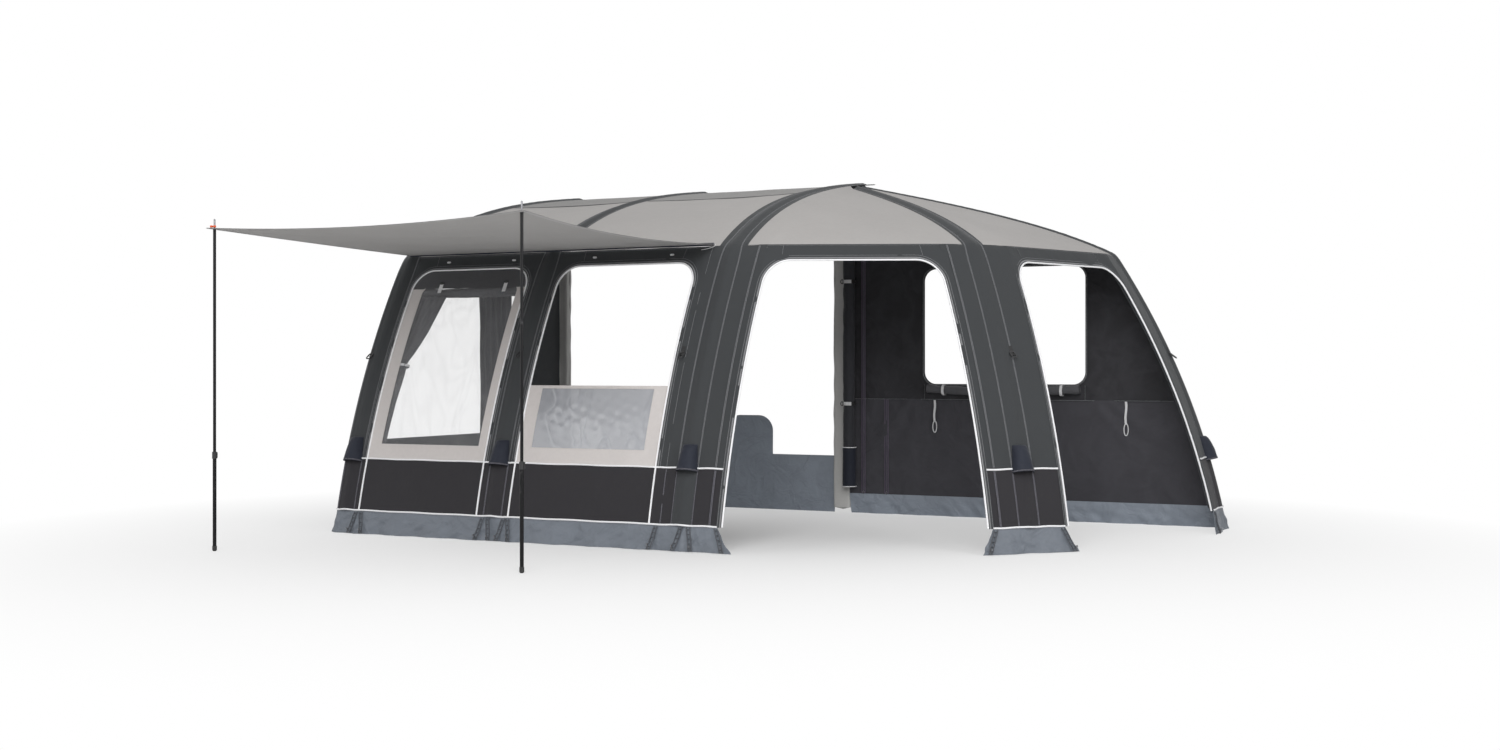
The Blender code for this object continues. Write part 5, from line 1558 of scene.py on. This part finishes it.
half = BULGE_LOW - 0.002
offset, run = np.meshgrid(np.linspace(-half, half, 25), np.linspace(skirt_run, waist_run + 0.004, 20))
places = leg.face(run, offset, 0.0016)
cloth("sleeve_3_strip", places, "graphite", leg.ahead, "stretched", rests_on=["sleeve_3_foot"])


# Straps, rings and loops


def ring_strap(name, centre, axis, radius, width, finish):
    """A strap drawn round a roll."""
    outward = round_places(np.linspace(0, CIRCLE, 49), *plane_of(axis))
    tape(name, centre + outward * radius, axis, outward, width, finish, thick=STRAP)


def blind_fittings(bay):
    """The flat of the blind under the window's head, and the straps that hold its roll."""
    edge, step = HEM + SEAM, np.linspace(0, 1, 14)[:, None]
    width = float(bay.width(wall_run(BLIND_LEVEL)))
    first = (edge + 0.006) / width
    columns = np.linspace(first, 1 - first, 90)
    inset = np.minimum(columns, 1 - columns) * width
    near = (1 - (inset - edge) / DOOR_CORNER).clip(0, 1)
    top = wall_run(DOOR_TOP - 0.004 - DOOR_CORNER * (1 - np.sqrt(1 - near**2)))
    level = mix(np.minimum(wall_run(DOOR_TOP - 0.132), top - 0.001), top, step)
    share = columns + 0 * step
    places = bay.share(share, level, FACE + 0.0016 + folds(share * width, level, 0.2, 301) * 0.0008)
    options = {"rests_on": ["front_window_border"], "thick": THIN}
    cloth("window_head", places, "curtain", bay.left.ahead, "stretched", **options)
    run = np.linspace(*(wall_run(level) for level in BLIND_STRAP), 10)
    out = bay.out(run)
    for name, place in (("left", 0.27), ("right", 0.80)):
        middle = bay.share(np.full(10, place), run, FACE + 0.0040)
        tape(f"blind_strap_{name}", middle, RIGHT, out, 0.028, "white strap", thick=STRAP)
        up = unit(middle[-1] - middle[0])
        centre = middle[-1] + up * 0.006 + out[0] * 0.0015
        ring(f"blind_ring_{name}", centre, RIGHT, up, (0.015, 0.008), 0.0026, "black plastic")


def side_curtain():
    """The gathered curtain at the back of the side window."""
    rise, across = np.linspace(0, 1, 60)[:, None], np.linspace(0, 1, 110)[None]
    fold = np.cos(across * CIRCLE * 6 + 0.5 * folds(across, rise, 0.6, 311))
    x = -2.638 + 0.010 * fold * (0.5 + 0.5 * rise)
    y = mix(-1.03, -0.60, across) + 0.01 * folds(across, rise, 0.4, 312)
    options = {"rests_on": ["side_wall"], "thick": THIN}
    places = at_hub(x, y, mix(1.73, 0.60, rise))
    cloth("side_window_curtain", places, "curtain", RIGHT, "gathered", **options)


blind_fittings(bays[0])
side_curtain()


# Rear wall


def rear_line(name, points, width, finish, lift=0.008):
    """A tape along points on the rear wall."""
    x, z = np.array(points, float).T
    run = sums(np.hypot(np.diff(x), np.diff(z)))
    steps = np.linspace(0, run[-1], max(8, int(run[-1] / 0.02)))
    ribbon(name, rear_place(np.interp(steps, run, x), np.interp(steps, run, z), lift), FRONT, width, finish)


def storm_strap(number, x):
    """A white strap with a loop that hangs from the rear wall's seam."""
    z = np.linspace(0.862, 0.70, 12)
    middle = rear_place(x + 0.003 * np.sin(z * 40), z, 0.0145)
    tape(f"storm_strap_{number}", middle, RIGHT, FRONT, 0.016, "white strap", thick=0.0016)
    place = rear_place(x + 0.002, 0.665, 0.0165)
    ring(f"storm_loop_{number}", place, RIGHT, UP, (0.015, 0.042), 0.004, "white strap")


rear_line("rear_wall_seam", [(0.0, REAR_SEAM), (2.38, REAR_SEAM)], 0.008, "fine stitch")
for name, x in (("left", WINDOW_LEFT), ("right", WINDOW_RIGHT)):
    rear_line(f"rear_wall_seam_{name}", [(x, WINDOW_LOW - 0.002), (x, REAR_SEAM)], 0.006, "fine stitch")
for name, x, top in (("tall", 0.075, 2.33), ("low", 0.26, REAR_SEAM)):
    name, low = f"rear_zip_{name}", SKIRT_TOP + 0.005
    rear_line(name, [(x, low), (x, top)], 0.024, "dark zip")
    for side in (-0.0125, 0.0125):
        rear_line(f"{name}_{side}", [(x + side, low), (x + side, top)], 0.005, "zip track", 0.0098)
    place = rear_place(x, SKIRT_TOP + 0.012, 0.0125)
    ring(f"{name}_pull", place, RIGHT, UP, (0.006, 0.011), 0.0020, "steel")
centre = rear_window.mean(axis=0)
rim = centre + (rear_window - centre) * 1.016
rear_line("rear_window_hem", np.append(rim, rim[:1], axis=0), 0.016, "fine stitch", 0.007)
for number, x in enumerate((0.64, 1.36, 2.05), 1):
    storm_strap(number, x)
for number, x in enumerate((0.72, 1.60), 1):
    ring_strap(f"flap_strap_{number}", flap_place(x), RIGHT, 0.0375, 0.020, "white strap")
for number, z in enumerate((0.83, 1.75), 1):
    centre, across = at_hub(*DOOR_ROLL, z), np.linspace(1, -1, 12)
    ring_strap(f"door_strap_{number}", centre, UP, 0.0505, 0.024, "black strap")
    tab = centre + np.outer(across, RIGHT * 0.034) + np.outer(0.0535 - 0.010 * across**2, FRONT)
    tape(f"door_tab_{number}", tab, UP, FRONT, 0.026, "white strap", thick=0.002)
    place = tab[-1] + (-0.006, -0.002, 0)
    ring(f"door_ring_{number}", place, RIGHT, UP, (0.012, 0.014), 0.003, "black plastic")
foot = at_hub(*DOOR_ROLL, np.linspace(0.206, 0.50, 40))
hose("door_panel_foot", foot, 0.0505, "navy", RIGHT, around=40, flat_end=0.1, wobble=0.02)
for number, place in ((1, foot[0]), (2, foot[-1])):
    ring(f"door_roll_piping_{number}", place, RIGHT, BACK, (0.0515, 0.0515), 0.0035, "piping")


# Guy points and pegging

GUY_HEIGHT = 1.20


def guy_point(leg, offset):
    """A webbing tab with its plastic runner, for a storm guy."""
    run = wall_run(GUY_HEIGHT) + np.linspace(-0.035, 0.035, 8)
    middle, out = leg.face(run, offset, 0.0008), leg.out(run)
    tape(f"guy_tab_{leg.number}", middle, leg.across, out, 0.024, "black strap", thick=0.0016)
    hang = unit(out[0] * 0.55 - unit(middle[-1] - middle[0]))
    place, half, name = middle[3] + hang * 0.028, leg.across * 0.012, f"guy_runner_{leg.number}"
    ring(name, place, leg.across, hang, (0.016, 0.029), 0.0042, "black plastic", power=0.6)
    line(f"guy_bar_{leg.number}", spread(place - half, place + half, 6), 0.003, "black plastic")


def ladder(number, top, bottom, across, out):
    """A rubber pegging ladder down the skirt, with the peg at its end."""
    name, half = f"pegging_ladder_{number}", across * 0.011
    sway = np.outer(0.002 * np.sin(np.linspace(0, 9, 14)), out)
    bars = [
        (f"rail_{sign}", spread(top + half * sign, bottom + half * sign, 14) + sway, 0.0036)
        for sign in (-1, 1)
    ]
    for rung in range(5):
        place = mix(top, bottom, 0.08 + 0.2 * rung)
        bars.append((f"rung_{rung}", spread(place - half, place + half, 4), 0.0028))
    parts = [line(f"{name}_{part}", path, radius, "ladder", 1) for part, path, radius in bars]
    only(parts[0])
    for part in parts:
        part.select_set(True)
    bpy.ops.object.join()
    parts[0].name = parts[0].data.name = name
    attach(parts[0], "awning")
    bends = ((0.004, -0.001), (0.006, 0.030), (0.016, 0.036), (0.022, 0.026))
    line(f"{name}_peg", [bottom + out * away + UP * rise for away, rise in bends], 0.0028, "steel")


for leg, offset in zip(legs, (-0.06, 0.0, -0.17, 0.07, -0.02)):
    guy_point(leg, offset)
for number, (x, lean) in enumerate((
    (-2.44, 0.03), (-2.40, -0.03), (-1.43, 0.03), (-1.39, -0.03), (-1.27, 0.03), (-1.24, -0.03),
    (-0.17, 0.03), (0.0, 0.035), (0.05, -0.035), (0.235, -0.06),
), 1):
    top, bottom = at_hub(x, -foot_reach - 0.008, 0.142), at_hub(x - lean, -foot_reach - 0.052, 0.006)
    ladder(number, top, bottom, RIGHT, FRONT)
for number, leg, offset, aside in (
    (11, legs[3], -0.225, -0.06), (12, legs[3], 0.225, 0.06), (13, legs[4], -0.255, -0.06),
):
    top = leg.at(skirt_run, offset, 0.008) * FLOOR + UP * 0.142
    bottom = leg.at(skirt_run, offset + aside, 0.052) * FLOOR + UP * 0.006
    ladder(number, top, bottom, leg.across, leg.ahead)


# Canopy fittings

EYELET = (
    (0.0062, -0.003), (0.0125, -0.003), (0.013, 0.0), (0.0125, 0.0018), (0.009, 0.0032), (0.0062, 0.0024),
    (0.0062, -0.003),
)
SPIKE = ((0.0054, 0.004), (0.0054, 0.0500), (0.0040, 0.0535), (0.0004, 0.0556), (0.0, 0.0556))
KNOB = ((0, -0.004), (0.007, -0.004), (0.009, 0.001), (0.009, 0.005), (0.006, 0.009), (0, 0.0095))


def canopy_edge(name, u, v):
    """A hem along the canopy's edge, folded over its lower face."""
    for part, sign, lift in (("top", 1, 0.0008), ("under", -1, -0.0026)):
        middle = canopy_place(mix(u, 0.5, 0.006), mix(v, 0.5, 0.006), lift)
        ahead = directed(middle)
        side = unit(np.cross(UP, ahead))
        out = np.cross(ahead, side) * sign
        tape(f"canopy_hem_{name}_{part}", middle, side, out, 0.024, "canopy hem", lift=0.0003)


def canopy_height(x, y):
    """The height of the canopy over a pole."""
    u, v = np.meshgrid(np.linspace(0, 1, 600), np.linspace(0.9, 1, 120))
    aside, ahead, up = (canopy_place(u, v) - at_hub(x, y, 0)).reshape(-1, 3).T
    return up[np.argmin(np.hypot(aside, ahead))]


share = np.linspace(0, 1, 120)
none, full = 0 * share, 0 * share + 1
for name, u, v in (("left", none, share), ("right", full, share), ("front", share, full)):
    canopy_edge(name, u, v)
for side, (x, y) in POLES.items():
    lathe(f"canopy_ring_{side}", EYELET, at_hub(x, y, canopy_height(x, y)), UP, "steel")
for side, (x, y) in POLES.items():
    lathe(f"canopy_spike_{side}", SPIKE, at_hub(x, y, POLE_HEIGHT), UP, "steel")
for name, aside, ahead in (("canopy_knob", 0, 0), ("canopy_bead", 0.019, 0.006)):
    x, y = POLES["left"]
    lathe(name, KNOB, at_hub(x - aside, y - ahead, POLE_HEIGHT + 0.0075), UP, "orange")


# Stage

LAMPS = {
    "key": ((3.5, -8.5, 6.5), 7.0, 700),
    "side": ((8.0, -3.0, 3.5), 4.0, 130),
    "fill": ((-7.0, -6.0, 3.0), 5.0, 80),
    "top": ((0.0, 2.0, 8.0), 7.0, 90),
}


def make_stage():
    """A pale floor that keeps the awning's shadow, a white world and four soft lamps."""
    bpy.ops.object.select_all(action="DESELECT")
    bpy.ops.mesh.primitive_plane_add(size=60, location=(0, 0, -0.001))
    floor = bpy.context.object
    floor.name = "floor"
    look = Finish("pale floor", (0.86, 0.86, 0.86), 0.9)
    light = look.node("ShaderNodeEmission", None, {0: (1, 1, 1, 1), 1: 1.0})
    seen = look.node("ShaderNodeLightPath", output=0)
    away = look.node("ShaderNodeVectorMath", {"operation": "LENGTH"}, {0: look.place()}, 1)
    inputs = {0: seen * ((away - 2.4) / 6 + 0.5).held(), 1: Value(look, look.shader.outputs[0]), 2: light}
    look.put(look.tree.nodes["Material Output"].inputs[0], look.node("ShaderNodeMixShader", None, inputs))
    floor.data.materials.append(look.material)
    world = bpy.data.worlds.new("world")
    world.use_nodes = True
    bpy.context.scene.world = world
    nodes, links = world.node_tree.nodes, world.node_tree.links
    back = nodes["Background"]
    kinds = ("Background", "LightPath", "MixShader")
    shown, path, mixed = (nodes.new(f"ShaderNode{kind}") for kind in kinds)
    for node in (back, shown):
        node.inputs[0].default_value = (1, 1, 1, 1)
    back.inputs[1].default_value = 0.27
    seen = path.outputs["Is Camera Ray"]
    for ray in ("Is Glossy Ray", "Is Transmission Ray"):
        either = nodes.new("ShaderNodeMath")
        either.operation = "MAXIMUM"
        links.new(seen, either.inputs[0])
        links.new(path.outputs[ray], either.inputs[1])
        seen = either.outputs[0]
    for number, end in enumerate((seen, back.outputs[0], shown.outputs[0])):
        links.new(end, mixed.inputs[number])
    links.new(mixed.outputs[0], nodes["World Output"].inputs[0])
    for name, (place, size, power) in LAMPS.items():
        lamp = bpy.data.lights.new(name, "AREA")
        lamp.size, lamp.energy = size, power
        held = bpy.data.objects.new(name, lamp)
        bpy.context.scene.collection.objects.link(held)
        aim = Vector((0, 0.3, 0.8)) - Vector(place)
        held.matrix_world = Matrix.Translation(place) @ aim.to_track_quat("-Z", "Y").to_matrix().to_4x4()
    bpy.context.scene.view_settings.view_transform = "Standard"


make_stage()
